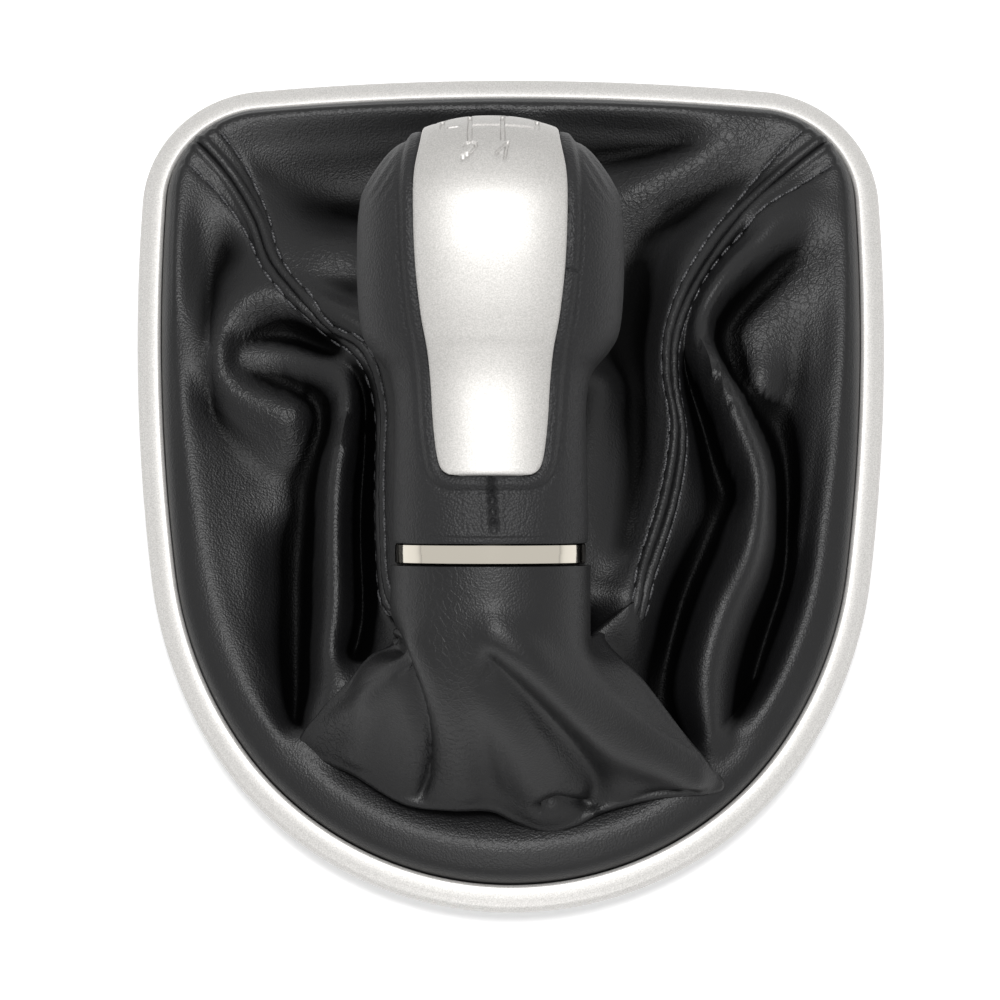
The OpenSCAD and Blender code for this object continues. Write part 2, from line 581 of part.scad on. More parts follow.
// Solid grip, grown or shrunk all round; bottom sets where it starts
module grip_solid(grow, bottom) {
    levels = [for (g = GRIP) if (g[1] + grow > 2 && g[2] + grow > 1.5) g];
    rings = concat([grip_ring([bottom, levels[0][1], levels[0][2], levels[0][3]], grow)],
                   [for (i = [1:len(levels) - 1]) grip_ring(levels[i], grow)]);
    n = len(rings);
    points = concat([for (r = rings) each r], [[0, 0, bottom], [0, 0, grip_top + grow]]);
    walls = [for (i = [0:n - 2]) for (k = [0:grip_sides - 1])
        let (m = (k + 1) % grip_sides, a = i * grip_sides, b = (i + 1) * grip_sides)
        each [[a + k, b + k, b + m], [a + k, b + m, a + m]]];
    floor_tris = [for (k = [0:grip_sides - 1]) [n * grip_sides, k, (k + 1) % grip_sides]];
    top_tris = [for (k = [0:grip_sides - 1])
        let (t = (n - 1) * grip_sides) [n * grip_sides + 1, t + (k + 1) % grip_sides, t + k]];
    polyhedron(points, concat(walls, floor_tris, top_tris));
}

// Outline of the silver insert, seen from the front of the grip: [half width, height]
INSERT_SIDE = [[6.6, 14.6], [8.6, 15.3], [9.6, 17], [10.2, 20.1], [10.7, 25.1], [11.1, 31.7], [11.7, 37.8],
               [12.9, 44.6], [13.9, 54], [14.3, 64.8], [14.1, 72], [13.2, 78.1], [12.4, 85]];
insert_back = 5;
module insert_prism(grow) {
    side = [for (p = INSERT_SIDE) [p[0] + grow, p[1] - (p[1] < 16 ? grow : 0)]];
    outline = concat(side, [for (i = [len(side) - 1:-1:0]) [-side[i].x, side[i].y]]);
    translate([0, insert_back + grow, 0])
        rotate([90, 0, 0])
            linear_extrude(40)
                polygon(outline);
}

module grip_cover() {
    color(grip_leather)
        at_collar()
            difference() {
                grip_solid(0, ring_h / 2 + 0.15);
                grip_solid(-leather_t, 1);
                insert_prism(0.25);
            }
}

module insert() {
    color(silver)
        at_collar()
            intersection() {
                difference() {
                    grip_solid(0.4, 2);
                    grip_solid(-1.2, 1);
                }
                insert_prism(0);
            }
}

// Moulded core, bored for the lever sleeve
sleeve_r = 9;
sleeve_top = 40;
sleeve_low = 22;
module knob_core() {
    color(black_plastic)
        at_collar()
            difference() {
                grip_solid(-1.5, ring_h / 2 + 0.1);
                translate([0, 0, -1])
                    cylinder(r = sleeve_r + 0.05, h = sleeve_top + 1.2, $fn = 64);
            }
}

// Bright ring between the grip and the gaiter
ring_bore = 13;
module collar_ring() {
    r = ring_d / 2;
    h = ring_h / 2;
    color(chrome)
        at_collar()
            rotate_extrude($fn = 96)
                polygon([[ring_bore, -h], [r - 0.35, -h], [r - 0.05, -h + 0.3], [r, 0],
                         [r - 0.05, h - 0.3], [r - 0.35, h], [ring_bore, h]]);
}

// Steel sleeve that takes the lever: blind bore, and a slotted end for the clamp
slot_w = 1.6;
slot_l = 14;
module lever_sleeve() {
    color(zinc)
        at_collar()
            difference() {
                translate([0, 0, -sleeve_low])
                    cylinder(r = sleeve_r, h = sleeve_low + sleeve_top, $fn = 64);
                translate([0, 0, -sleeve_low - eps])
                    cylinder(d = lever_d, h = bore_l + eps, $fn = 64);
                translate([-slot_w / 2, -sleeve_r - 1, -sleeve_low - 1])
                    cube([slot_w, 2 * sleeve_r + 2, slot_l + 1]);
            }
}

// Holder behind the ring: the gaiter's top is tied into its groove
module gaiter_holder() {
    color(black_plastic)
        at_collar()
            rotate_extrude($fn = 96)
                polygon([[sleeve_r + 0.05, 1.9], [ring_bore - 0.1, 1.9], [ring_bore - 0.1, -2.05],
                         [16.4, -2.05], [16.6, -2.5], [16.6, -4.6], [14.2, -5.2], [14.2, -7.8],
                         [16.2, -8.4], [16.2, -10.2], [15.6, -10.8], [11.5, -12.4], [sleeve_r + 0.05, -12.4]]);
}

// Tie in the holder's groove, with its square head at the back
module neck_tie() {
    color(black_plastic)
        at_collar() {
            rotate_extrude($fn = 96)
                polygon([[14.25, -7.6], [15.4, -7.6], [15.4, -5.4], [14.25, -5.4]]);
            translate([-2.2, 14.9, -7.9])
                cube([4.4, 1.9, 2.8]);
        }
}

// One-ear clamp that closes the sleeve's slotted end on the lever
clamp_w = 6;
clamp_z = -19.5;
module sleeve_clamp() {
    inner = sleeve_r + 0.05;
    color(steel)
        at_collar()
            translate([0, 0, clamp_z]) {
                difference() {
                    union() {
                        cylinder(r = inner + 0.7, h = clamp_w, $fn = 96);
                        linear_extrude(clamp_w)
                            polygon([[-3.4, 0], [-3.4, inner - 0.2], [-2.4, inner + 3.4],
                                     [2.4, inner + 3.4], [3.4, inner - 0.2], [3.4, 0]]);
                    }
                    translate([0, 0, -1])
                        cylinder(r = inner, h = clamp_w + 2, $fn = 96);
                    translate([0, 0, -1])
                        linear_extrude(clamp_w + 2)
                            polygon([[-2.5, inner + 0.7], [-1.7, inner + 2.7], [1.7, inner + 2.7], [2.5, inner + 0.7]]);
                }
            }
}

bezel();
gaiter_carrier();
gaiter_hem();
hem_staples();
spring_clip(LEGS[0]);  // clip_front_left
spring_clip(LEGS[1]);  // clip_front_right
spring_clip(LEGS[2]);  // clip_left
spring_clip(LEGS[3]);  // clip_right
spring_clip(LEGS[4]);  // clip_rear_left
spring_clip(LEGS[5]);  // clip_rear_right
front_panel();
rear_panel();
knob_core();
grip_cover();
insert();
collar_ring();
lever_sleeve();
gaiter_holder();
neck_tie();
sleeve_clamp();
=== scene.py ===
# %% [markdown]
# # Gear shift knob with its leather gaiter
# The object is the loose set that clips into a car's centre console: a satin silver trim
# frame, a gaiter of pebbled black leather sewn from two panels, and a knob with a fine
# leather cover and a silver insert. The knob lies over towards the front, so the soft
# gaiter is pressed into folds all round it. The folds are the hard part of this model.

# %% Load the frame
import math

import bmesh
import bpy
import numpy as np
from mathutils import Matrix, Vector


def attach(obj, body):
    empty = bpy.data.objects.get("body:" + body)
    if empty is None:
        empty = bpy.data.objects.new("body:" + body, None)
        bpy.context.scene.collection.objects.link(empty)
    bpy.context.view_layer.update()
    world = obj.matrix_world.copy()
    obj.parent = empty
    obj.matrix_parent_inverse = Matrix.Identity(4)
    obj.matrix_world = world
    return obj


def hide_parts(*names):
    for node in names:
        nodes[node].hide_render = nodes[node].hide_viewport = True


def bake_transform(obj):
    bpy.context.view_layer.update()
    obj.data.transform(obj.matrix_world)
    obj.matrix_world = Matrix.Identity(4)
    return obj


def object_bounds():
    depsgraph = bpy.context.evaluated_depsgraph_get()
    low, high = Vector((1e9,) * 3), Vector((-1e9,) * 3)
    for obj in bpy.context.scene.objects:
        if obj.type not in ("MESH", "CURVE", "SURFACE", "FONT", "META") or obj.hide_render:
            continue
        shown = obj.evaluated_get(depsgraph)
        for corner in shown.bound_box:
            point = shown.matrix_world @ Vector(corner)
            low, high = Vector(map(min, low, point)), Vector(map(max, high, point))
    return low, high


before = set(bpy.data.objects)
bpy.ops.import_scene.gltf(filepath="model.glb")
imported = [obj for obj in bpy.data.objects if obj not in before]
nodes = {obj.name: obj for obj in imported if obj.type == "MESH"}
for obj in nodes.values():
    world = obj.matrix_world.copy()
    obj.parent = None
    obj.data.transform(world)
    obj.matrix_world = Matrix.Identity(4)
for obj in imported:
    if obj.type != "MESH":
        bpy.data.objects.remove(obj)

cad_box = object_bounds()
MM = 0.001
print("CAD box in mm:", [round(v / MM, 1) for v in (*cad_box[0], *cad_box[1])])

# %% [markdown]
# ## Camera
# The photograph looks down steeply, about 75 degrees above the level, from the rear of the
# set. At that height the knob, which lies at 15 degrees, is seen square from the side. A
# long lens keeps the trim frame's two sides nearly parallel, as they are in the picture.

# %% Camera
view_elevation = math.radians(75)
view_distance = 700 * MM
look_at_mm = np.array([-2.2, -3.07, 6])
look_at = Vector(look_at_mm) * MM
focal_pixels = 3472
image_pixels = 1000
sensor_width = 36

camera_data = bpy.data.cameras.new("camera")
camera_data.sensor_width = sensor_width
camera_data.lens = focal_pixels / image_pixels * sensor_width
camera_data.clip_end = 20
camera = bpy.data.objects.new("camera", camera_data)
camera.location = look_at + view_distance * Vector((0, -math.cos(view_elevation), math.sin(view_elevation)))
camera.rotation_euler = (math.pi / 2 - view_elevation, 0, 0)
bpy.context.collection.objects.link(camera)
bpy.context.scene.camera = camera
bpy.context.scene.view_settings.view_transform = "Standard"
print("lens in mm:", round(camera_data.lens, 1))

# %% [markdown]
# ## Colours and nodes
# Colours are written as sRGB hex values, the way a paint chart gives them, and turned to
# the linear values that a shader wants. One function adds a node with its settings and its
# links, so that each material below reads as a list of what feeds what.

# %% Helpers for colours and nodes
def colour(code):
    """An sRGB hex value as a linear colour."""
    parts = [int(code[i:i + 2], 16) / 255 for i in (0, 2, 4)]
    return (*[c / 12.92 if c <= 0.04045 else ((c + 0.055) / 1.055) ** 2.4 for c in parts], 1)


def add(tree, kind, inputs=None, **settings):
    """Adds one node: inputs sets or links its sockets, and settings its properties."""
    made = tree.nodes.new(kind)
    for name, value in settings.items():
        setattr(made, name, value)
    for key, value in (inputs or {}).items():
        if isinstance(value, bpy.types.NodeSocket):
            tree.links.new(value, made.inputs[key])
        else:
            made.inputs[key].default_value = value
    return made


def new_material(name, **surface):
    """A material with its shader's values set, and the tree and shader to build on."""
    made = bpy.data.materials.new(name)
    made.use_nodes = True
    shader = made.node_tree.nodes["Principled BSDF"]
    for key, value in surface.items():
        shader.inputs[key.replace("_", " ")].default_value = value
    return made, made.node_tree, shader


# %% [markdown]
# ## Light and floor
# The picture was taken in a white light tent: a soft light overhead, a weaker one from the
# rear, and pale walls that fill the shadows a little. Up-facing leather shines and steep
# leather goes dark, so the world is dim. The floor and the background are white only for
# the camera, for reflections and for what is seen through, so they put no extra light on
# the object.

# %% World, lamps and floor
floor_glow = 0.42


def seen_directly(tree):
    """A socket that is 1 for the camera, for reflections and for what is seen through."""
    path = add(tree, "ShaderNodeLightPath")
    seen = path.outputs["Is Camera Ray"]
    for ray in ("Is Glossy Ray", "Is Transmission Ray"):
        seen = add(tree, "ShaderNodeMath", {0: seen, 1: path.outputs[ray]}, operation="MAXIMUM").outputs[0]
    return seen


world = bpy.data.worlds.new("tent")
bpy.context.scene.world = world
world.use_nodes = True
tree = world.node_tree
tree.nodes.clear()
seen = seen_directly(tree)
fill = add(tree, "ShaderNodeBackground", {"Color": colour("ffffff"), "Strength": 0.22})
white = add(tree, "ShaderNodeBackground", {"Color": colour("ffffff"), "Strength": 1.0})
both = add(tree, "ShaderNodeMixShader", {0: seen, 1: fill.outputs[0], 2: white.outputs[0]})
add(tree, "ShaderNodeOutputWorld", {"Surface": both.outputs[0]})

lamp_aim = Vector((0, -0.01, 0.03))
for name, size, watts, place in (("overhead", 0.36, 8.0, (0.0, 0.08, 1.0)),
                                 ("rear", 0.5, 2.0, (0.0, -0.6, 0.8))):
    lamp_data = bpy.data.lights.new(name, "AREA")
    lamp_data.shape = "DISK"
    lamp_data.size = size
    lamp_data.energy = watts
    lamp = bpy.data.objects.new(name, lamp_data)
    lamp.location = place
    lamp.rotation_euler = (Vector(place) - lamp_aim).to_track_quat("Z", "Y").to_euler()
    bpy.context.collection.objects.link(lamp)

bpy.ops.mesh.primitive_plane_add(size=6, location=(0, 0, cad_box[0].z - 0.05 * MM))
floor = bpy.context.object
floor.name = "floor"
floor_material, tree, shader = new_material("tent_floor", Base_Color=colour("f4f4f4"), Roughness=0.9)
lift = add(tree, "ShaderNodeMath", {0: seen_directly(tree), 1: floor_glow}, operation="MULTIPLY")
shader.inputs["Emission Color"].default_value = colour("ffffff")
tree.links.new(lift.outputs[0], shader.inputs["Emission Strength"])
floor.data.materials.append(floor_material)
print("floor level in mm:", round(floor.location.z / MM, 2))

# %% [markdown]
# ## The trim frame's outline
# The frame is a D with a gently bowed front, tight front corners and a round rear. Five
# arcs that meet smoothly give each half, so the whole outline follows from a few radii.
# Everything round the gaiter is placed by two numbers: how far along the outline, and how
# far in from it.

# %% The outline as tangent arcs, in millimetres
leg_h = 6.0
front_r, side_r, lower_r, rear_r = 560.0, 435.0, 86.0, 70.0
front_end, side_start, side_end, lower_end = 84.6, 2.5, -8.0, -34.0


def sin(a):
    return np.sin(np.radians(a))


def cos(a):
    return np.cos(np.radians(a))


def along(a):
    return np.stack([cos(a), sin(a)], axis=-1)


corner_r = (-front_r * cos(front_end) + side_r * cos(side_start)
            - (side_r - lower_r) * cos(side_end) - (lower_r - rear_r) * cos(lower_end)
            ) / (cos(side_start) - cos(front_end))
half_l = (front_r - (front_r - corner_r) * sin(front_end) - (corner_r - side_r) * sin(side_start)
          - (side_r - lower_r) * sin(side_end) - (lower_r - rear_r) * sin(lower_end) + rear_r) / 2
front_c = np.array([0, half_l - front_r])
corner_c = front_c + (front_r - corner_r) * along(front_end)
side_c = corner_c + (corner_r - side_r) * along(side_start)
lower_c = side_c + (side_r - lower_r) * along(side_end)
rear_c = np.array([0, lower_c[1] + (lower_r - rear_r) * sin(lower_end)])
ARCS = [(front_c, front_r, 90, front_end), (corner_c, corner_r, front_end, side_start),
        (side_c, side_r, side_start, side_end), (lower_c, lower_r, side_end, lower_end),
        (rear_c, rear_r, lower_end, -90)]
ARC_LENGTHS = np.array([r * (a - b) * math.pi / 180 for _, r, a, b in ARCS])
ARC_STARTS = np.concatenate([[0], np.cumsum(ARC_LENGTHS)[:-1]])
half_len = ARC_LENGTHS.sum()


def rim_point(s, inset):
    """Point on the outline: s runs from 0 to 1 clockwise from the front, inset goes inwards."""
    s, inset = np.broadcast_arrays(np.asarray(s, float), np.asarray(inset, float))
    turn = s - np.floor(s)
    right = turn <= 0.5
    length = 2 * half_len * np.where(right, turn, 1 - turn)
    which = np.clip(np.searchsorted(ARC_STARTS, length, side="right") - 1, 0, 4)
    out = np.zeros(s.shape + (2,))
    for i, (centre, radius, first, _) in enumerate(ARCS):
        angle = first - (length - ARC_STARTS[i]) / radius * 180 / math.pi
        here = centre + (radius - inset)[..., None] * along(angle)
        out = np.where((which == i)[..., None], here, out)
    out[..., 0] = np.where(right, out[..., 0], -out[..., 0])
    return out


print("outline in mm:", round(2 * half_len, 1), "round, front corner radius", round(corner_r, 1))

# %% [markdown]
# ## Meshes from grids
# The leather, the trim frame, the grip and the insert are all sheets that follow a rule, so
# each is worked out as a grid of points. Two such grids, one for each side of the material,
# are closed along their borders into a solid skin.

# %% Helpers for meshes
sharp_angle = math.radians(62)


def grid_quads(rows, columns, wrap, start, flip):
    """Quads of a grid whose first point has the number start."""
    i = np.arange(rows if wrap else rows - 1)
    j = np.arange(columns - 1)
    a, b = np.meshgrid(i, j, indexing="ij")
    c = (a + 1) % rows
    quads = np.stack([a * columns + b, a * columns + b + 1, c * columns + b + 1, c * columns + b], axis=-1)
    quads = quads.reshape(-1, 4) + start
    return quads[:, ::-1] if flip else quads


def make_object(name, points, faces, mat, smooth=True):
    """A mesh object in metres from points in millimetres, at the origin."""
    mesh = bpy.data.meshes.new(name)
    mesh.from_pydata((np.asarray(points) * MM).tolist(), [], [list(map(int, f)) for f in faces])
    mesh.validate()
    mesh.polygons.foreach_set("use_smooth", [smooth] * len(mesh.polygons))
    mesh.materials.append(mat)
    made = bpy.data.objects.new(name, mesh)
    bpy.context.collection.objects.link(made)
    return made


def face_outwards(made, merge=None):
    """Turns a mesh's faces outwards, and first joins points closer than merge."""
    mesh = bmesh.new()
    mesh.from_mesh(made.data)
    if merge:
        bmesh.ops.remove_doubles(mesh, verts=mesh.verts, dist=merge)
    bmesh.ops.recalc_face_normals(mesh, faces=mesh.faces)
    mesh.to_mesh(made.data)
    mesh.free()


def skin(name, outer, inner, mat, wrap=False):
    """A closed skin between two grids of points; wrap joins the last row to the first."""
    rows, columns = outer.shape[:2]
    count = rows * columns
    quads = [grid_quads(rows, columns, wrap, 0, False), grid_quads(rows, columns, wrap, count, True)]
    i = np.arange(rows if wrap else rows - 1)
    k = (i + 1) % rows
    for j, turned in ((0, False), (columns - 1, True)):
        side = np.stack([i * columns + j, k * columns + j,
                         count + k * columns + j, count + i * columns + j], -1)
        quads.append(side[:, ::-1] if turned else side)
    if not wrap:
        j = np.arange(columns - 1)
        for r, turned in ((0, True), (rows - 1, False)):
            a = r * columns + j
            side = np.stack([a, a + 1, count + a + 1, count + a], -1)
            quads.append(side if turned else side[:, ::-1])
    points = np.concatenate([outer.reshape(-1, 3), inner.reshape(-1, 3)])
    made = make_object(name, points, np.concatenate(quads), mat)
    face_outwards(made)
    made.data.set_sharp_from_angle(angle=sharp_angle)
    return made


def give(made, attribute, values):
    """Stores one number for each point of a mesh, for its material to read."""
    layer = made.data.attributes.new(attribute, "FLOAT", "POINT")
    layer.data.foreach_set("value", np.asarray(values, np.float32).ravel())


# %% [markdown]
# ## Leather for the gaiter and the grip
# Gaiters are cut from corrected cow leather or a close imitation: black through and
# through, embossed with a small pebble grain and finished half matt. The grain breaks the
# highlights into sparkle, and where the leather is creased the grain opens to a crackle.
# Both are bump from cells of a real size. The crackle is let in by a number stored on the
# mesh, and a second number, the depth in the folds, paints shade into the deep hollows: it
# darkens their colour and their reflection. The grip has leather of the same kind, greyer
# and duller, as hands leave it.

# %% Pebbled leather
pebble_mm = 0.42
crackle_mm = 1.6
# Painted shade: the deepest hollows keep this share of their colour and reflection
painted_hollow_brightness = 0.12


def leather(name, tint, roughness, specular, pebble, crackle, strength):
    """Grained leather: pebble and crackle are cell sizes in millimetres."""
    made, tree, shader = new_material(name, Roughness=roughness, Specular_IOR_Level=specular)
    spot = add(tree, "ShaderNodeTexCoord").outputs["Object"]
    bend = add(tree, "ShaderNodeTexNoise", {"Vector": spot, "Scale": 1 / (3 * MM), "Detail": 2})
    moved = add(tree, "ShaderNodeMixRGB", {0: 0.0006, 1: spot, 2: bend.outputs["Color"]}, blend_type="ADD")
    cells = add(tree, "ShaderNodeTexVoronoi", {"Vector": moved.outputs[0], "Scale": 1 / (pebble * MM)})
    fine = add(tree, "ShaderNodeTexNoise", {"Vector": spot, "Scale": 1 / (0.35 * MM), "Detail": 3})
    grain = add(tree, "ShaderNodeMath", {0: cells.outputs["Distance"], 1: -1.0, 2: 1.0},
                operation="MULTIPLY_ADD")
    grain = add(tree, "ShaderNodeMath", {0: fine.outputs[0], 1: 0.25, 2: grain.outputs[0]},
                operation="MULTIPLY_ADD")
    lines = add(tree, "ShaderNodeTexVoronoi", {"Vector": moved.outputs[0], "Scale": 1 / (crackle * MM)},
                feature="DISTANCE_TO_EDGE")
    width = add(tree, "ShaderNodeMapRange", {"Value": lines.outputs[0], "From Max": 0.1, "To Min": 1.0,
                                            "To Max": 0.0})
    open_up = add(tree, "ShaderNodeAttribute", attribute_name="crackle")
    depth = add(tree, "ShaderNodeMath", {0: open_up.outputs["Fac"], 1: 0.85}, operation="MULTIPLY")
    height = add(tree, "ShaderNodeMath", {0: width.outputs[0], 1: depth.outputs[0], 2: grain.outputs[0]},
                 operation="MULTIPLY_ADD")
    bump = add(tree, "ShaderNodeBump", {"Height": height.outputs[0], "Strength": strength,
                                        "Distance": 0.12 * MM})
    tree.links.new(bump.outputs[0], shader.inputs["Normal"])
    cloud = add(tree, "ShaderNodeTexNoise", {"Vector": spot, "Scale": 1 / (14 * MM), "Detail": 4})
    tone = add(tree, "ShaderNodeValToRGB", {0: cloud.outputs[0]})
    tone.color_ramp.elements[0].color = colour(tint[0])
    tone.color_ramp.elements[1].color = colour(tint[1])
    # Painted shade: the depth in the folds darkens the colour and the reflection in the hollows
    sunk = add(tree, "ShaderNodeAttribute", attribute_name="hollow")
    hollow_shade = add(tree, "ShaderNodeMapRange", {"Value": sunk.outputs["Fac"], "From Min": 0.15, "From Max": 1.1,
                                           "To Min": 1.0, "To Max": painted_hollow_brightness})
    shaded_specular = add(tree, "ShaderNodeMath", {0: hollow_shade.outputs[0], 1: specular}, operation="MULTIPLY")
    tree.links.new(shaded_specular.outputs[0], shader.inputs["Specular IOR Level"])
    tone = add(tree, "ShaderNodeMixRGB", {0: 1.0, 1: tone.outputs[0], 2: hollow_shade.outputs[0]},
               blend_type="MULTIPLY")
    tree.links.new(tone.outputs[0], shader.inputs["Base Color"])
    rub = add(tree, "ShaderNodeMapRange", {"Value": cloud.outputs[0], "To Min": roughness - 0.06,
                                          "To Max": roughness + 0.06})
    tree.links.new(rub.outputs[0], shader.inputs["Roughness"])
    return made


gaiter_leather = leather("pebbled_leather", ("0b0b0c", "111112"), 0.43, 0.32, pebble_mm, crackle_mm, 0.5)
grip_leather = leather("fine_leather", ("1a1a1b", "202021"), 0.5, 0.25, 0.5, 1.6, 1.0)
print("leathers:", gaiter_leather.name, "and", grip_leather.name)

# %% [markdown]
# ## Hard finishes
# The trim frame and the insert are moulded ABS with a satin silver paint: metal flakes
# under a soft clear coat, so they look pale and even, with a fine speckle. The collar ring
# is ABS with bright chrome plating, a slightly warm mirror. The hidden parts are black
# nylon, half matt with a moulded grain, zinc-plated steel, pale and a little cloudy, and
# spring steel, darker and smoother.

# %% Silver, chrome, plastic and steel
flake_mm = 0.25


def silver_paint(name, tones, metallic, roughness):
    """Satin metallic paint with a fine speckle between two tones."""
    made, tree, shader = new_material(name, Metallic=metallic, Roughness=roughness)
    spot = add(tree, "ShaderNodeTexCoord").outputs["Object"]
    flake = add(tree, "ShaderNodeTexNoise", {"Vector": spot, "Scale": 1 / (flake_mm * MM), "Detail": 2})
    tone = add(tree, "ShaderNodeValToRGB", {0: flake.outputs[0]})
    for element, place, code in zip(tone.color_ramp.elements, (0.3, 0.7), tones):
        element.position = place
        element.color = colour(code)
    tree.links.new(tone.outputs[0], shader.inputs["Base Color"])
    bump = add(tree, "ShaderNodeBump", {"Height": flake.outputs[0], "Strength": 0.08, "Distance": 0.05 * MM})
    tree.links.new(bump.outputs[0], shader.inputs["Normal"])
    return made


trim_silver = silver_paint("satin_silver_paint", ("bbb9b6", "dad8d5"), 0.45, 0.5)
# Painted shade: a darker, slightly more metallic copy of the trim's satin silver paint, for the shade on the
# insert
shaded_insert_silver = silver_paint("shaded_satin_silver_paint", ("a9a7a4", "c4c2bf"), 0.55, 0.52)

chrome, tree, shader = new_material("bright_chrome", Base_Color=colour("c4beb2"), Metallic=1.0)
spot = add(tree, "ShaderNodeTexCoord").outputs["Object"]
smear = add(tree, "ShaderNodeTexNoise", {"Vector": spot, "Scale": 1 / (6 * MM), "Detail": 2})
rough = add(tree, "ShaderNodeMapRange", {"Value": smear.outputs[0], "To Min": 0.04, "To Max": 0.1})
tree.links.new(rough.outputs[0], shader.inputs["Roughness"])


def grained(name, code, metallic, roughness, grit_mm, strength):
    """A plain finish with a fine grit: moulded plastic or plated steel."""
    made, tree, shader = new_material(name, Base_Color=colour(code), Metallic=metallic)
    spot = add(tree, "ShaderNodeTexCoord").outputs["Object"]
    grit = add(tree, "ShaderNodeTexNoise", {"Vector": spot, "Scale": 1 / (grit_mm * MM), "Detail": 3})
    bump = add(tree, "ShaderNodeBump", {"Height": grit.outputs[0], "Strength": strength,
                                        "Distance": 0.06 * MM})
    tree.links.new(bump.outputs[0], shader.inputs["Normal"])
    rough = add(tree, "ShaderNodeMapRange", {"Value": grit.outputs[0], "To Min": roughness - 0.08,
                                            "To Max": roughness + 0.08})
    tree.links.new(rough.outputs[0], shader.inputs["Roughness"])
    return made


black_nylon = grained("moulded_nylon", "1c1c1e", 0.0, 0.55, 0.5, 0.25)
zinc_steel = grained("zinc_plated_steel", "a9abae", 1.0, 0.38, 0.8, 0.1)
spring_steel = grained("spring_steel", "8e9195", 1.0, 0.3, 0.4, 0.1)

# Twisted thread: its strands run round each stitch, whose own place is stored on the mesh
strand_mm = 0.9
thread, tree, shader = new_material("bonded_thread", Base_Color=colour("343436"), Roughness=0.35)
way = add(tree, "ShaderNodeAttribute", attribute_name="thread_way")
parts = add(tree, "ShaderNodeSeparateXYZ", {0: way.outputs["Vector"]})
round_it = add(tree, "ShaderNodeMath", {0: parts.outputs["Y"], 1: parts.outputs["X"]}, operation="ARCTAN2")
climb = add(tree, "ShaderNodeMath", {0: parts.outputs["Z"], 1: 2 * math.pi / (strand_mm * MM)},
            operation="MULTIPLY")
phase = add(tree, "ShaderNodeMath", {0: round_it.outputs[0], 1: climb.outputs[0]}, operation="ADD")
strands = add(tree, "ShaderNodeMath", {0: phase.outputs[0]}, operation="SINE")
bump = add(tree, "ShaderNodeBump", {"Height": strands.outputs[0], "Strength": 0.8, "Distance": 0.1 * MM})
tree.links.new(bump.outputs[0], shader.inputs["Normal"])

NODE_FINISH = {"gaiter_carrier": black_nylon, "gaiter_hem": gaiter_leather, "hem_staples": zinc_steel,
               "knob_core": black_nylon, "collar_ring": chrome, "lever_sleeve": zinc_steel,
               "gaiter_holder": black_nylon, "neck_tie": black_nylon, "sleeve_clamp": spring_steel}
for name, made in nodes.items():
    finish = spring_steel if name.startswith("clip_") else NODE_FINISH.get(name, trim_silver)
    made.data.materials.clear()
    made.data.materials.append(finish)
print("finishes on CAD nodes:", len(nodes))

# %% [markdown]
# ## The trim frame
# A moulded rim of L section: a skirt outside, a softly rounded edge, a flat top and a small
# bevel where the leather begins. It is one section carried round the outline, so the mesh
# is a ring of sections. Close steps keep the silver free of facets.

# %% Trim frame
rim_w, rim_h = 4.9, 4.2
skirt_t, cover_t, edge_r = 2.0, 1.9, 1.5
RIM_SECTION = np.array(
    [[skirt_t, 0], [0.15, 0], [0, 0.15]]
    + [[edge_r - edge_r * math.cos(a), rim_h - 2.5 + edge_r * math.sin(a)] for a in np.linspace(0, 1.3, 9)]
    + [[1.9, rim_h - 0.55], [2.7, rim_h - 0.2], [3.5, rim_h - 0.05], [rim_w - 0.75, rim_h],
       [rim_w - 0.6, rim_h - 0.02], [rim_w - 0.12, rim_h - 0.35], [rim_w, rim_h - 0.55],
       [rim_w, rim_h - cover_t], [rim_w - 0.15, rim_h - cover_t - 0.1],
       [skirt_t, rim_h - cover_t - 0.3], [skirt_t, 0]])
rim_steps = 480
place = np.linspace(0, 1, rim_steps, endpoint=False)
plan = rim_point(place[:, None], RIM_SECTION[None, :, 0])
rim_grid = np.concatenate([plan, np.broadcast_to(leg_h + RIM_SECTION[None, :, 1, None],
                                                 plan.shape[:2] + (1,))], axis=-1)
trim_frame = make_object("trim_frame", rim_grid.reshape(-1, 3),
                         grid_quads(rim_steps, len(RIM_SECTION), True, 0, False), trim_silver)
face_outwards(trim_frame, merge=0.01 * MM)
print("trim frame faces:", len(trim_frame.data.polygons))
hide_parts("bezel")
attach(trim_frame, "frame")

# %% [markdown]
# ## The knob's own frame
# The knob lies at 15 degrees. Its axis runs from the collar ring towards the front and up,
# and the side with the shift pattern faces the camera. The gaiter's neck is a tube on the
# same axis, just below the ring.

# %% Knob frame and gaiter neck
rest_tilt = 15
ring_h, ring_d = 3.9, 36.3
fit_gap = 0.3
leather_t = 1.1
collar = np.array([-4, -23.7, 44])
axis_dir = np.array([0, cos(rest_tilt), sin(rest_tilt)])
axis_up = np.array([0, -sin(rest_tilt), cos(rest_tilt)])
neck_r = ring_d / 2 + 0.3


def neck_point(t, psi):
    """Point on the neck, t below the ring, turned by psi from its underside."""
    psi = np.asarray(psi, float)[..., None]
    return collar - t * axis_dir + neck_r * (sin(psi) * np.array([1, 0, 0]) - cos(psi) * axis_up)


# %% [markdown]
# ## Where the leather runs
# The gaiter is one sheet that starts in the slot beside the silver rim, rolls over, falls
# into the folds, runs under an apron of slack leather and comes back over its edge up to
# the neck. The stations below say, clockwise from the front, where each strip of the sheet
# starts on the rim, how far round the neck it ends, and which point of the apron's edge it
# passes. A smooth curve through the stations gives every strip between them.

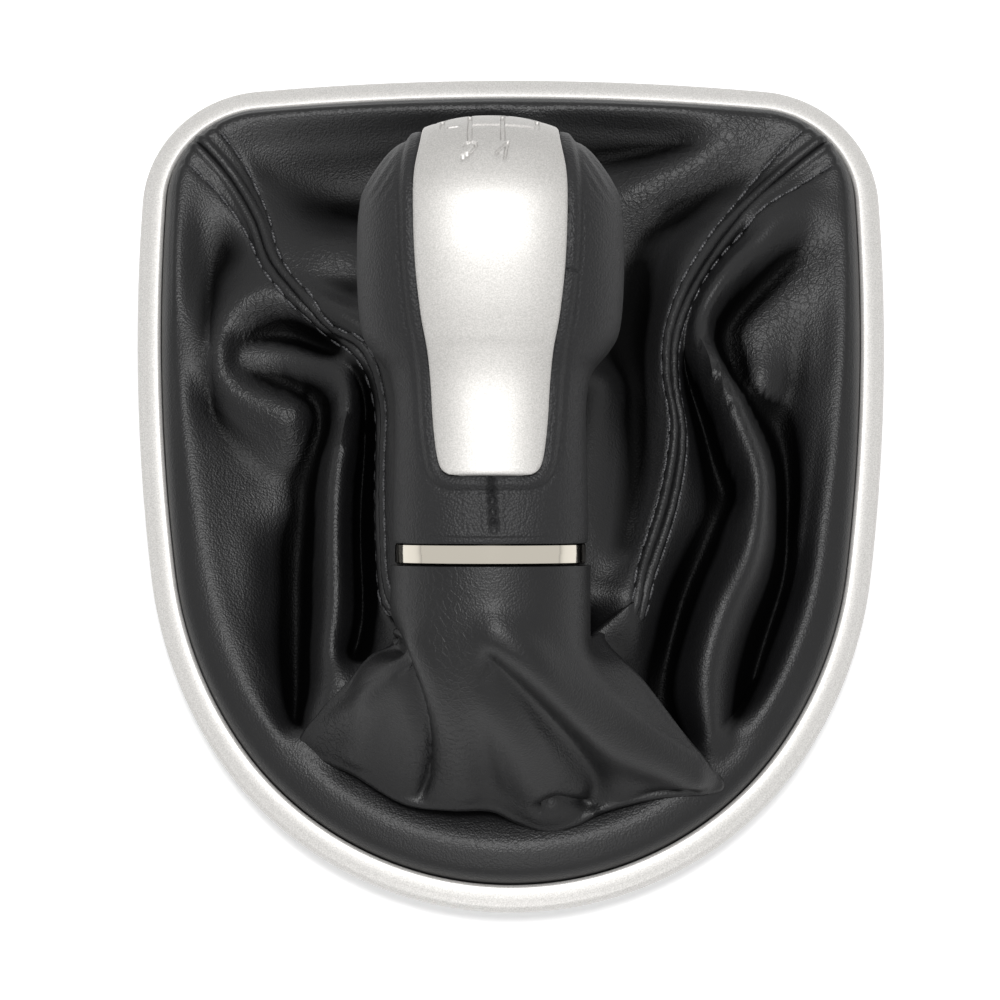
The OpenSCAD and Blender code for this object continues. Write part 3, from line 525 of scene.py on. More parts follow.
# %% Stations: place on the rim, turn round the neck, apron edge
STATIONS = np.array([
    [0.000, 0, -4, -38, 17], [0.040, 20, 3, -38, 18], [0.085, 38, 9, -38, 20],
    [0.132, 55, 14, -39, 23], [0.170, 68, 17, -38.5, 26], [0.210, 78, 18, -37, 29],
    [0.260, 86, 18, -36.5, 30], [0.300, 94, 18, -37.5, 31.5], [0.335, 102, 20, -41, 32.5],
    [0.360, 110, 25, -46, 31], [0.380, 118, 33, -55, 24], [0.395, 126, 38, -60, 19],
    [0.410, 134, 41, -63, 15], [0.430, 142, 37.5, -64.5, 15], [0.450, 152, 28, -65.5, 16],
    [0.475, 164, 18, -68, 16], [0.490, 172, 12, -71, 15], [0.503, 178, 7, -72, 14.5],
    [0.517, 184, 1, -70, 15.5], [0.530, 190, -4, -68, 17], [0.550, 200, -12, -68, 18],
    [0.570, 210, -21, -66.5, 17], [0.590, 220, -31, -60.5, 16], [0.605, 228, -41, -55.5, 14],
    [0.625, 236, -37, -50, 20], [0.650, 244, -32, -46, 26], [0.680, 252, -26, -40.5, 32],
    [0.710, 260, -23, -39, 34], [0.750, 268, -22, -37, 32.5], [0.800, 278, -21.5, -37, 29],
    [0.868, 300, -20, -38, 25], [0.910, 320, -14, -38.5, 20], [0.955, 340, -9, -38, 18]])
station_n = len(STATIONS)
right_seam_at, left_seam_at = 3, 30
print("stations round the gaiter:", station_n)


def blend4(a, b, c, d, f):
    """Catmull-Rom curve from b to c."""
    return b + f / 2 * ((c - a) + f * ((2 * a - 5 * b + 4 * c - d) + f * (3 * b - a - 3 * c + d)))


def ease(x):
    """A soft step from 0 to 1."""
    c = np.clip(x, 0, 1)
    return c * c * (3 - 2 * c)


def bell(x, half):
    """A soft bump, 1 in the middle and small beyond its half width."""
    return np.exp(-(x / half) ** 2)


def station_at(u):
    """The stations' values at any u, round and round."""
    i = np.floor(u).astype(int)
    turn = np.array([1, 360, 0, 0, 0])

    def value(k):
        return STATIONS[k % station_n] + (k // station_n)[..., None] * turn
    return blend4(value(i - 1), value(i), value(i + 1), value(i + 2), (u - i)[..., None])


def on_curve(points, t):
    """Smooth curve through a list of points, t from 0 to its last number."""
    p = np.asarray(points, float)
    i = np.clip(np.floor(t).astype(int), 0, len(p) - 2)
    last = len(p) - 1
    return blend4(p[np.maximum(i - 1, 0)], p[i], p[i + 1], p[np.minimum(i + 2, last)], (t - i)[..., None])


RIGHT_SEAM = [[57, 64.5], [49.5, 57.5], [42, 47.5], [36, 37.5], [32.5, 28], [31.5, 20], [32.5, 12.5],
              [33, 2.5], [31, -7.5], [27.5, -18.5], [24.5, -29], [21, -36], [11, -38]]
LEFT_SEAM = [[-57.5, 63], [-53, 56], [-50.5, 48.5], [-46, 39.5], [-38, 30.5], [-31, 24.5], [-26.5, 18],
             [-25.5, 8], [-25.5, -2], [-25.5, -10.5], [-24.5, -22], [-23, -31], [-17, -38]]

# %% [markdown]
# ## How high the folds stand
# Pressed leather is smooth between its ridges and hollows, so only those are given, as fold
# lines. Each point of a line was picked on the photograph, as a pixel across and a pixel
# down, with a height given for it. The camera's ray through that pixel meets the height at
# the point's real place. One smooth surface is put through all of them: each point adds a
# hyperboloid of its own softness, and a set of equations gives the weights that make the
# sum pass through every height. A little blur then rounds the ridges as thick leather would.

# %% Fold lines: softness, then pixel across, pixel down and height in millimetres
FOLD_LINES = {
    "right ridge, from the roll past the knob to the apron's right tip":
        (4, [[808, 210, 16.3], [780, 228, 18.2], [755, 252, 20], [732, 276, 21.7], [713, 298, 23.2],
             [702, 318, 24.3], [697, 340, 25.3], [702, 362, 26], [714, 383, 26.5], [728, 406, 27],
             [742, 430, 27.3], [755, 453, 27.5], [761, 475, 27.5], [763, 500, 27], [763, 530, 26.5],
             [758, 555, 25.7], [747, 578, 24.7], [732, 600, 24], [717, 625, 23.5], [706, 650, 23],
             [701, 680, 22], [701, 710, 20.5], [706, 740, 18.5], [712, 765, 16]]),
    "foot of the right ridge, and the valley beside the right roll":
        (0.6, [[802, 242, 14.3], [776, 262, 13], [752, 284, 12.2], [734, 304, 12], [717, 327, 12.5],
             [714, 347, 12.8], [727, 372, 12], [745, 400, 11], [763, 430, 10], [776, 460, 9.8],
             [780, 500, 9.8], [780, 540, 9.8], [777, 580, 9.8], [768, 620, 9.4], [759, 660, 9.2],
             [751, 700, 9.2], [741, 745, 9.8], [731, 772, 11]]),
    "crackled tongue right of it":
        (5, [[828, 252, 15], [812, 268, 14.3], [790, 300, 13.7], [768, 335, 13.6], [750, 368, 13.3],
             [745, 395, 12.3]]),
    "dark band between the tongue and the roll":
        (3, [[800, 322, 13.2], [792, 370, 12], [785, 410, 11]]),
    "valley between the right seam and the ridge":
        (0.6, [[745, 238, 15.5], [722, 262, 16.5], [703, 290, 17.8], [690, 322, 18.3], [685, 348, 18],
             [689, 375, 17.6], [697, 402, 17.2], [706, 430, 17], [715, 458, 17.2], [727, 485, 18],
             [738, 493, 19], [728, 512, 19.5], [708, 540, 18.5], [693, 570, 17], [680, 600, 15.7],
             [670, 640, 14.8], [667, 680, 14.3], [675, 712, 14], [690, 742, 14]]),
    "broad face left of the ridge's lower part":
        (3, [[745, 520, 25.5], [735, 550, 24.5], [722, 580, 23.5]]),
    "right seam":
        (2.5, [[800, 160, 14.3], [780, 177, 14], [755, 197, 14.5], [737, 220, 16], [720, 240, 17.7],
             [705, 260, 19.3], [690, 282, 21], [680, 305, 22], [674, 325, 22.7], [669, 350, 23.3],
             [671, 375, 23.6], [675, 400, 23.8], [679, 425, 24], [680, 447, 24], [676, 477, 24.5],
             [670, 497, 25], [660, 525, 25.5], [652, 550, 26], [645, 577, 26.5], [637, 600, 27],
             [627, 627, 27]]),
    "valley between the right seam and the knob":
        (3, [[645, 235, 8.5], [648, 270, 9.5], [648, 310, 11.5], [645, 350, 14], [642, 400, 17.3],
             [639, 450, 20], [636, 500, 22.3], [630, 550, 24.3]]),
    "plateau beside the knob's neck":
        (3, [[604, 385, 21.5], [602, 430, 23.7], [601, 480, 25.3], [601, 530, 26.3], [602, 580, 26]]),
    "lit fold behind the knob on the right":
        (2.5, [[742, 130, 15.6], [720, 143, 15], [700, 155, 14.3], [675, 170, 13.5], [645, 187, 12.5],
             [618, 202, 11]]),
    "behind that fold":
        (1.5, [[560, 150, 10], [610, 149, 9.5], [655, 147, 10], [690, 140, 11.5]]),
    "crease below that fold":
        (3, [[748, 152, 14], [724, 170, 12.5], [700, 192, 11], [675, 214, 9.5]]),
    "left ridge beside the knob, from the hollow's inner fold to the apron's left tip":
        (3, [[232, 355, 15.4], [264, 354, 15.1], [296, 356, 16.2], [322, 364, 18.3], [340, 377, 20.6],
             [349, 394, 22.2], [350, 414, 23], [346, 440, 23.4], [339, 470, 23.5], [336, 500, 23.5],
             [336, 540, 23.5], [337, 580, 23.2], [335, 620, 22.5], [330, 660, 21.4], [322, 690, 20],
             [312, 718, 17.5]]),
    "crease at the left foot of that ridge":
        (0.4, [[329, 432, 13], [321, 453, 11.8], [315, 477, 10.6], [312, 505, 9.8], [310, 545, 9],
             [309, 585, 8.8], [307, 625, 8.8], [303, 665, 9], [300, 700, 9.5], [298, 725, 10.5]]),
    "slope from the left roll":
        (6, [[256, 500, 12.2], [258, 540, 12.2], [260, 580, 12.3], [262, 620, 12.4], [268, 660, 12.6],
             [276, 695, 12.8]]),
    "curled ridge round the left hollow":
        (2.5, [[284, 303, 17.9], [262, 304, 17.6], [240, 313, 17.1], [222, 326, 16.8], [213, 345, 16.6],
             [213, 362, 16.6], [221, 380, 16.7], [236, 391, 16.9], [258, 397, 17], [282, 401, 17],
             [304, 409, 16.4]]),
    "floor of the left hollow above its inner fold":
        (2, [[236, 343, 14.6], [252, 337, 13.4], [276, 331, 12.6], [305, 332, 13.2], [335, 346, 15.8]]),
    "floor of the left hollow below its inner fold":
        (2, [[236, 367, 14.6], [256, 375, 13.4], [284, 385, 12.6], [308, 397, 12.8], [326, 412, 13.2]]),
    "lit slope below the curl":
        (4, [[262, 428, 15], [285, 440, 14], [304, 458, 12.4]]),
    "flat dark floor below that slope":
        (4, [[270, 478, 11.6], [290, 505, 10.4]]),
    "valley between the left roll and the curl":
        (2, [[215, 235, 12.6], [206, 262, 12.1], [201, 295, 12], [200, 330, 12], [201, 365, 12],
             [208, 400, 12.2], [222, 430, 12.8], [240, 458, 12.6]]),
    "dark hollow at the upper left":
        (5, [[236, 254, 12.6], [228, 282, 13.6]]),
    "left seam":
        (2.5, [[212, 157, 14.3], [227, 172, 13.8], [240, 187, 13.6], [250, 207, 14], [262, 240, 15],
             [270, 257, 16], [282, 280, 17.3], [300, 300, 19], [320, 317, 20.5], [342, 332, 22],
             [356, 342, 22.8], [370, 355, 23.3], [378, 372, 23.6], [381, 400, 23.8], [381, 430, 24],
             [381, 470, 24.3], [382, 510, 24.7], [384, 550, 25], [387, 590, 25.5], [390, 625, 26]]),
    "valley between the left seam and the left ridge":
        (0.6, [[354, 366, 19], [363, 395, 17], [364, 430, 15.7], [362, 470, 15], [360, 510, 14.8],
             [360, 550, 14.8], [361, 590, 14.8], [361, 625, 15], [352, 655, 15.5]]),
    "front panel left of the knob":
        (3, [[262, 158, 12.2], [310, 150, 11.5], [350, 147, 11.2], [400, 147, 11], [440, 150, 10.5]]),
    "crease of the front panel":
        (1, [[283, 199, 11], [305, 209, 9.6], [330, 215, 8.6], [365, 217, 8]]),
    "lit bulge left of the knob":
        (4, [[290, 262, 16.2], [310, 252, 16.6], [345, 250, 16.6]]),
    "leather between that bulge and the seam":
        (4, [[325, 290, 18.3], [350, 300, 19.3]]),
    "level of the leather under the knob":
        (6, [[490, 152, 9.5], [490, 220, 12.5], [490, 320, 16.5], [490, 440, 20]])}

roll_crest, roll_z = 9.2, 15.4
shoulder = 4


def roll_in(s):
    """How far in the roll's crest lies; the rear half of the roll is wider."""
    return roll_crest + 2.9 * ease((np.abs(s - np.round(s)) - 0.17) / 0.18)


def on_photo(points):
    """Places in plan, to half a millimetre, of points picked on the photograph."""
    across, down, height = np.asarray(points, float).T
    back = np.array([0, -math.cos(view_elevation), math.sin(view_elevation)])
    up = np.array([0, math.sin(view_elevation), math.cos(view_elevation)])
    eye = look_at_mm + view_distance / MM * back
    middle = image_pixels / 2
    ray = (np.outer((across - middle) / focal_pixels, [1, 0, 0])
           - np.outer((down - middle) / focal_pixels, up) - back)
    place = eye + ((height - eye[2]) / ray[:, 2])[:, None] * ray
    return np.column_stack([np.round(2 * place[:, :2]) / 2, height])


def dense_line(points, step):
    """A smooth line through points with a point every step."""
    p = np.asarray(points, float)
    line = on_curve(p, np.linspace(0, len(p) - 1, 40 * len(p)))
    run = np.concatenate([[0], np.cumsum(np.linalg.norm(np.diff(line[:, :2], axis=0), axis=1))])
    even = np.linspace(0, run[-1], max(2, int(run[-1] / step)))
    return np.stack([np.interp(even, run, line[:, k]) for k in range(p.shape[1])], axis=-1)


def line_distance(line, x, y):
    """Distance from every (x, y) to a dense line in plan."""
    best = np.full(np.shape(x), 1e9)
    for p in line:
        best = np.minimum(best, (x - p[0]) ** 2 + (y - p[1]) ** 2)
    return np.sqrt(best)


field_x, field_y = 84.0, 93.0
cell = 0.6
blur_steps = 10
fold_step = 3.5


def fold_field():
    """Heights of the folds on a square grid, smooth through the fold lines and the roll."""
    points, soft = [], []
    for softness, line in FOLD_LINES.values():
        points.append(dense_line(on_photo(line), fold_step))
        soft.append(np.full(len(points[-1]), softness))
    given = np.concatenate(points)
    ring = np.linspace(0, 1, 109)[:-1]
    for past, z, room in ((-2.5, roll_z - 0.35, 0), (0, roll_z, 1.5), (2.5, roll_z - 0.6, 4.5),
                          (6, roll_z - 2.2, 7)):
        spots = rim_point(ring, roll_in(ring) + past)
        away = np.min(np.linalg.norm(spots[:, None] - given[None, :, :2], axis=2), axis=1)
        spots = spots[away > room]
        points.append(np.concatenate([spots, np.full((len(spots), 1), z)], axis=1))
        soft.append(np.full(len(spots), 2.5))
    points, soft = np.concatenate(points), np.concatenate(soft)
    apart = np.linalg.norm(points[:, None, :2] - points[None, :, :2], axis=2)
    weights = np.linalg.solve(np.sqrt(apart ** 2 + soft[None] ** 2), points[:, 2] - roll_z)
    x, y = np.meshgrid(np.arange(-field_x, field_x + cell / 2, cell),
                       np.arange(-field_y, field_y + cell / 2, cell), indexing="ij")
    heights = np.full(x.shape, roll_z)
    for point, softness, weight in zip(points, soft, weights):
        heights += weight * np.sqrt((x - point[0]) ** 2 + (y - point[1]) ** 2 + softness ** 2)
    for _ in range(blur_steps):
        around = np.pad(heights, 1, mode="edge")
        heights = (4 * heights + around[2:, 1:-1] + around[:-2, 1:-1] + around[1:-1, 2:]
                   + around[1:-1, :-2]) / 8
    return heights


def spread(grid, reach):
    """A grid smoothed with a bell that reaches that far, in millimetres."""
    n = int(3 * reach / cell)
    weights = np.exp(-(np.arange(-n, n + 1) * cell / reach) ** 2 / 2)
    weights /= weights.sum()
    for axis in (0, 1):
        padded = np.pad(grid, [(n * (axis == 0),) * 2, (n * (axis == 1),) * 2], mode="edge")
        grid = np.apply_along_axis(np.convolve, axis, padded, weights, "valid")
    return grid


def read_grid(grid, x, y):
    """Values of a grid of the folds between its points."""
    fx = np.clip((x + field_x) / cell, 0, grid.shape[0] - 1.001)
    fy = np.clip((y + field_y) / cell, 0, grid.shape[1] - 1.001)
    i, j = np.floor(fx).astype(int), np.floor(fy).astype(int)
    a, b = fx - i, fy - j
    return ((1 - a) * (1 - b) * grid[i, j] + a * (1 - b) * grid[i + 1, j]
            + (1 - a) * b * grid[i, j + 1] + a * b * grid[i + 1, j + 1])


# How far each point lies below its surroundings; the leather's material paints shade by it
hollow_reach = 4
fold_heights = fold_field()
fold_hollows = spread(fold_heights, hollow_reach) - fold_heights
print("fold heights in mm:", round(fold_heights.min(), 1), "to", round(fold_heights.max(), 1))
print("deepest hollow in mm:", round(fold_hollows.max(), 1))


# %% [markdown]
# ## The sheet as a grid
# Each strip gets a chain of control points: five over the roll, ten across the folds, three
# round the apron's edge, six up the apron and two on the neck. A smooth curve through them
# gives closely spaced points, and in the folds their height is read from the grid of heights.

# %% Control points of a strip
apron_core = np.array([-4, -33])
fold_t = 6
fold_rows, apron_rows = 9, 6
tuck_in = rim_w + 0.35 + leather_t / 2
first_fold, last_fold = 5, 14
neck_from = 20


def under_point(e):
    """Where the leather turns under the apron's edge."""
    plan = apron_core + 0.8 * (e[..., :2] - apron_core)
    return np.concatenate([plan, e[..., 2:] - fold_t], axis=-1)


def chord(u, v):
    """Straight way in plan from the roll's shoulder (v 0) to under the apron (v 1)."""
    st = station_at(u)
    start = rim_point(st[..., 0], roll_in(st[..., 0]) + shoulder)
    end = under_point(st[..., 2:])[..., :2]
    return start + v[..., None] * (end - start)


def seam_pull(u, v, seam, at):
    """How far the strips near a seam are drawn over to follow it."""
    away = np.minimum(np.abs(u - at), np.minimum(np.abs(u - at + station_n), np.abs(u - at - station_n)))
    shift = on_curve(seam, v * (len(seam) - 1)) - chord(np.full_like(u, at), v)
    return ease(1 - away / 4.2)[..., None] * shift


def fold_plan(u, v):
    return chord(u, v) + seam_pull(u, v, RIGHT_SEAM, right_seam_at) + seam_pull(u, v, LEFT_SEAM, left_seam_at)


def fold_z(plan, v, under_z):
    """Height in the folds, led down under the apron at the end."""
    z = read_grid(fold_heights, plan[..., 0], plan[..., 1])
    return z + ease((v - 0.84) / 0.16) * (under_z - z)


def control_rows(u):
    """Control points of the strips at u, one row of points for each strip."""
    st = station_at(u)
    s, psi, edge = st[:, 0], st[:, 1], st[:, 2:]
    crest = roll_in(s)
    under = under_point(edge)
    inward = apron_core - edge[:, :2]
    inward = inward / np.maximum(4, np.linalg.norm(inward, axis=1))[:, None]
    hang = ease((1 - cos(psi)) / 2 * 1.6 - 0.5)[:, None]
    neck = neck_point(15, psi)

    def rim(inset, z):
        return np.concatenate([rim_point(s, inset), np.full((len(s), 1), leg_h + z)], axis=1)
    rows = [rim(tuck_in, 1.9), rim(tuck_in - 0.1, 4.4), rim(tuck_in + 0.7, 7.1),
            rim(tuck_in + 0.5 * (crest - tuck_in), 8.7), rim(crest, roll_z - leg_h)]
    for j in range(fold_rows + 1):
        v = np.full(len(s), j / fold_rows)
        plan = fold_plan(u, v)
        rows.append(np.concatenate([plan, fold_z(plan, v, under[:, 2])[:, None]], axis=1))
    rows.append(under + np.concatenate([0.75 * (edge - under)[:, :2], np.full((len(s), 1), 2.2)], axis=1))
    rows.append(edge)
    lip = edge + np.concatenate([(0.2 + 1.4 * hang) * inward, np.full((len(s), 1), 1.7)], axis=1)
    toe = edge + np.concatenate([8 * hang * inward, 2 + 4 * hang], axis=1)
    knee = neck - (2 + 8 * hang) * axis_dir
    rows.append(lip)
    for j in range(1, apron_rows + 1):
        f = j / apron_rows
        rows.append((1 - f) ** 3 * lip + 3 * (1 - f) ** 2 * f * toe
                    + 3 * (1 - f) * f * f * knee + f ** 3 * neck)
    rows += [neck_point(8, psi), neck_point(ring_h / 2 + fit_gap, psi)]
    return np.stack(rows, axis=1)


# %% Fine grid of the whole sheet, with close strips along the seams
steps_regular, steps_seam = 11, 26
closer = np.sinh(3 * np.arange(steps_seam) / steps_seam) / math.sinh(3)
strip_u = []
for k in range(station_n):
    if k in (right_seam_at, left_seam_at):
        strip_u.append(k + closer)
    elif k + 1 in (right_seam_at, left_seam_at):
        strip_u.append(k + 1 - closer[:0:-1])
        strip_u.append([k])
    else:
        strip_u.append(k + np.arange(steps_regular) / steps_regular)
strip_u = np.sort(np.concatenate(strip_u))
ROW_STEPS = [4] * 5 + [7] * 9 + [5] * 3 + [6] * 6 + [4] * 2
row_t = np.concatenate([k + np.arange(n) / n for k, n in enumerate(ROW_STEPS)] + [[len(ROW_STEPS)]])


def fine_sheet():
    """Every point of the sheet: strips round the gaiter, rows from the rim to the neck."""
    control = control_rows(strip_u)
    last = control.shape[1] - 1
    i = np.clip(np.floor(row_t).astype(int), 0, last - 1)
    f = (row_t - i)[None, :, None]
    sheet = blend4(control[:, np.maximum(i - 1, 0)], control[:, i], control[:, i + 1],
                   control[:, np.minimum(i + 2, last)], f)
    inside = (row_t >= first_fold) & (row_t < last_fold)
    v = np.broadcast_to((row_t[inside] - first_fold) / fold_rows, sheet[:, inside, 0].shape)
    under = under_point(station_at(strip_u)[:, 2:])[:, 2:]
    sheet[:, inside, 2] = fold_z(sheet[:, inside, :2], v, under)
    return sheet


def sheet_normals(sheet):
    du = np.roll(sheet, -1, axis=0) - np.roll(sheet, 1, axis=0)
    n = np.cross(np.gradient(sheet, axis=1), du)
    return n / np.maximum(1e-9, np.linalg.norm(n, axis=-1, keepdims=True))


sheet = fine_sheet()
print("sheet:", sheet.shape[0], "strips of", sheet.shape[1], "points")

# %% [markdown]
# ## Creases of the apron and the sewn seams
# The apron has a few forms of its own: a crease that sets off its left wedge, a ridge that
# runs from the neck to the right tip with a valley beside it, and a pleat at its edge. They
# are strokes that press the sheet out or in, each with its amount and half width. At the
# seams the edges are turned under, so there is a groove with a soft shoulder on each side,
# and the stitches pull two shallow lines beside it.

# %% Strokes on the apron: amount, half width, points in plan
APRON_STROKES = [
    # crease beside the left wedge, then the wedge's swell and the soft ridge to its right
    [-2.4, 1.6, [[-23.5, -37], [-21.5, -42], [-19.5, -47], [-17.5, -52], [-16, -57], [-16, -62],
                 [-17.5, -66]]],
    [1.4, 3.5, [[-26, -45], [-27, -52], [-29, -57]]],
    [1.0, 3.0, [[-17, -42], [-13.5, -50], [-10.5, -58], [-9, -65]]],
    # ridge from the neck to the right tip
    [2.4, 3.2, [[-3, -42], [3, -46], [8.5, -50.5], [14, -54.5], [20, -57.5], [28, -59.5], [35, -61.5]]],
    # valley below that ridge
    [-2.6, 2.6, [[-4, -48], [2, -52], [8, -56], [13, -60], [16.5, -64], [16, -68]]],
    # swell in the middle of the front
    [1.3, 5.0, [[-5, -53], [0, -58], [5, -64]]],
    # pleat at the edge, open towards the right
    [-1.8, 0.9, [[5.5, -67.5], [8, -66.5], [12, -67], [16, -68], [21, -67.5], [28, -65], [35, -64]]]]
on_apron = ease((row_t - 16) / 1.5)[None, :] * ease((24.5 - row_t) / 2)[None, :]
normals = sheet_normals(sheet)
press = np.zeros(sheet.shape[:2])
for amount, half, points in APRON_STROKES:
    away = line_distance(dense_line(points, 0.5), sheet[..., 0], sheet[..., 1])
    press += amount * bell(away, half) * on_apron
sheet = sheet + normals * press[..., None]

# Where the seams go under the apron the rows crowd, so the sheet is eased there
crowd_reach, crowd_steps = 5.0, 60
near = sum(np.exp(-(np.linalg.norm(sheet[..., :2] - place, axis=-1) / crowd_reach) ** 4)
           for place in ([-23, -36], [18, -36]))
near = (near * ease((row_t - 11.5) / 1)[None] * ease((21 - row_t) / 2)[None])[..., None]
for _ in range(crowd_steps):
    around = np.roll(sheet, 1, axis=0) + np.roll(sheet, -1, axis=0)
    around += np.roll(sheet, 1, axis=1) + np.roll(sheet, -1, axis=1)
    sheet = sheet + near * (around / 4 - sheet)

# %% Seams: distance across from each seam, then the groove, shoulders and stitch lines
stitch_pitch = 4.0
seam_span = 60
seam_depth, shoulder_h = 0.65, 0.5
stitch_sink, pull, pucker_h = 0.34, 0.12, 0.1
stitch_near, stitch_wider, wide_until = 1.9, 3.2, 50


def strip_at(at):
    return int(np.argmin(np.abs(strip_u - at)))


def stitch_off(along):
    """Distance of the stitches from the seam; they stand wider near the corners."""
    return stitch_near + stitch_wider * (1 - ease(along / wide_until))


right_i, left_i = strip_at(right_seam_at), strip_at(left_seam_at)
groove = np.zeros(sheet.shape[:2])
stitch_lines = []
for at in (right_i, left_i):
    order = np.arange(at - seam_span, at + seam_span + 1) % len(strip_u)
    step = np.linalg.norm(np.diff(sheet[order], axis=0), axis=-1)
    across = np.concatenate([np.zeros((1, sheet.shape[1])), np.cumsum(step, axis=0)])
    across -= across[seam_span]
    along_seam = np.concatenate([[0], np.cumsum(np.linalg.norm(np.diff(sheet[at], axis=0), axis=-1))])
    off = stitch_off(along_seam)
    beat = np.cos(along_seam * 2 * math.pi / stitch_pitch)[None, :]
    beside = np.abs(across)
    shape = -seam_depth * bell(across, 0.38) + shoulder_h * bell(beside - 1.05, 0.7)
    shape -= (stitch_sink + pull * beat) * bell(beside - off, 0.5)
    shape += pucker_h * beat * bell(beside - off + 1.1, 0.8)
    groove[order] += shape
    for side in (-1, 1):
        stitch_lines.append((order, across, side * off))
groove *= (ease((row_t - 1.5) / 1.5) * ease((13.8 - row_t) / 1))[None, :]
normals = sheet_normals(sheet)
sheet = sheet + normals * groove[..., None]
normals = sheet_normals(sheet)

# %% [markdown]
# ## What the leather's material reads
# Two numbers are stored on the sheet. One says how deep a point lies in a fold; the material
# paints shade there, a darker colour and a weaker reflection in the hollows. The other says
# how much the grain has opened where the leather is bent hard.

# %% Hollows and crackle
# Places where the grain opens: half width, then points in plan
CRACKLE = [[3.5, [[-42, 35], [-50, 35], [-58, 31], [-60, 25], [-57, 19], [-50, 15], [-42, 14]]],
           [6, [[-48, 12], [-40, 5]]],
           [6, [[-43, 42], [-34, 46]]],
           [8, [[62, 46], [55, 36], [47, 26], [42, 16]]],
           [7, [[50, 76], [39, 68], [27, 61]]],
           [7, [[-14, -30], [-12, -42], [-11, -50], [-14, -60]]],
           [5, [[-34, -47], [-35, -55]]]]
flat_crackle = 0.22
in_folds = ease((row_t - 4) / 1.5) * ease((16 - row_t) / 1.5)
# Depth in the folds, stored for the painted shade of the hollows
hollow = np.clip(read_grid(fold_hollows, sheet[..., 0], sheet[..., 1]), 0, None) * in_folds[None]
crackle = np.full(sheet.shape[:2], flat_crackle)
for half, points in CRACKLE:
    away = line_distance(dense_line(points, 1), sheet[..., 0], sheet[..., 1])
    crackle = np.maximum(crackle, bell(away, half))
print("deepest hollow on the sheet in mm:", round(hollow.max(), 1))

# %% [markdown]
# ## Two panels, each in two pieces
# The seams run from the front corners to the neck, so the gaiter is a small front panel and
# a large one that wraps round the rear. The leather bends in two places when the knob
# moves: all of it leans with the knob from side to side, and the neck alone folds when the
# knob is raised. A piece can follow only one joint, so the panels are split on a line round
# the neck, and the two edges share their points.

# %% Panels
sheet_t = 1.0
split = int(np.argmin(np.abs(row_t - neck_from)))
rear_strips = np.arange(right_i, left_i + 1)
front_strips = np.arange(left_i, right_i + len(strip_u) + 1) % len(strip_u)


def panel(name, strips, rows, node):
    outer = sheet[strips][:, rows] + normals[strips][:, rows] * sheet_t / 2
    inner = sheet[strips][:, rows] - normals[strips][:, rows] * sheet_t / 2
    made = skin(name, outer, inner, gaiter_leather)
    # The depth in the folds, which the material turns into painted shade
    give(made, "hollow", np.tile(hollow[strips][:, rows].ravel(), 2))
    give(made, "crackle", np.tile(crackle[strips][:, rows].ravel(), 2))
    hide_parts(node)
    print(name, "faces:", len(made.data.polygons))
    return made


lower_rows = slice(0, split + 1)
neck_rows = slice(split, None)
for side, strips in (("front", front_strips), ("rear", rear_strips)):
    body = panel("gaiter_" + side, strips, lower_rows, side + "_panel")
    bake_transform(body)
    neck = panel("neck_" + side, strips, neck_rows, side + "_panel")
    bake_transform(neck)

# %% [markdown]
# ## Stitches
# A row of lock stitches in bonded black thread runs on each side of both seams. A Geometry
# Nodes tree makes them: it walks along a guide line, sets down one twisted stitch for each
# needle hole, and turns it along the line. The stitches are then baked into one mesh.

# %% Stitch tree
def stitch_tree():
    tree = bpy.data.node_groups.new("stitch_row", "GeometryNodeTree")
    sockets = tree.interface
    sockets.new_socket("Geometry", in_out="INPUT", socket_type="NodeSocketGeometry")
    for name in ("Pitch", "Length", "Thickness"):
        sockets.new_socket(name, in_out="INPUT", socket_type="NodeSocketFloat")
    sockets.new_socket("Seed", in_out="INPUT", socket_type="NodeSocketInt")
    sockets.new_socket("Thread", in_out="INPUT", socket_type="NodeSocketMaterial")
    sockets.new_socket("Geometry", in_out="OUTPUT", socket_type="NodeSocketGeometry")
    given = add(tree, "NodeGroupInput").outputs
    curve = add(tree, "GeometryNodeMeshToCurve", {"Mesh": given["Geometry"]})
    holes = add(tree, "GeometryNodeResampleCurve", {"Curve": curve.outputs[0], "Length": given["Pitch"]},
                mode="LENGTH")
    tangent = add(tree, "GeometryNodeInputTangent")
    turned = add(tree, "FunctionNodeAlignRotationToVector", {"Vector": tangent.outputs[0]}, axis="Z")
    bead = add(tree, "GeometryNodeMeshUVSphere", {"Segments": 12, "Rings": 9, "Radius": 0.5})
    size = add(tree, "ShaderNodeCombineXYZ", {0: given["Thickness"], 1: given["Thickness"],
                                              2: given["Length"]})
    bead = add(tree, "GeometryNodeTransform", {"Geometry": bead.outputs["Mesh"], "Scale": size.outputs[0]})
    spot = add(tree, "GeometryNodeInputPosition")
    bead = add(tree, "GeometryNodeStoreNamedAttribute",
               {"Geometry": bead.outputs[0], "Name": "thread_way", "Value": spot.outputs[0]},
               data_type="FLOAT_VECTOR", domain="POINT")
    vary = add(tree, "FunctionNodeRandomValue", {2: 0.86, 3: 1.08, "Seed": given["Seed"]}, data_type="FLOAT")
    row = add(tree, "GeometryNodeInstanceOnPoints",
              {"Points": holes.outputs[0], "Instance": bead.outputs[0], "Rotation": turned.outputs[0],
               "Scale": vary.outputs[1]})
    real = add(tree, "GeometryNodeRealizeInstances", {0: row.outputs[0]})
    smooth = add(tree, "GeometryNodeSetShadeSmooth", {0: real.outputs[0]})
    done = add(tree, "GeometryNodeSetMaterial", {0: smooth.outputs[0], "Material": given["Thread"]})
    add(tree, "NodeGroupOutput", {0: done.outputs[0]})
    return tree


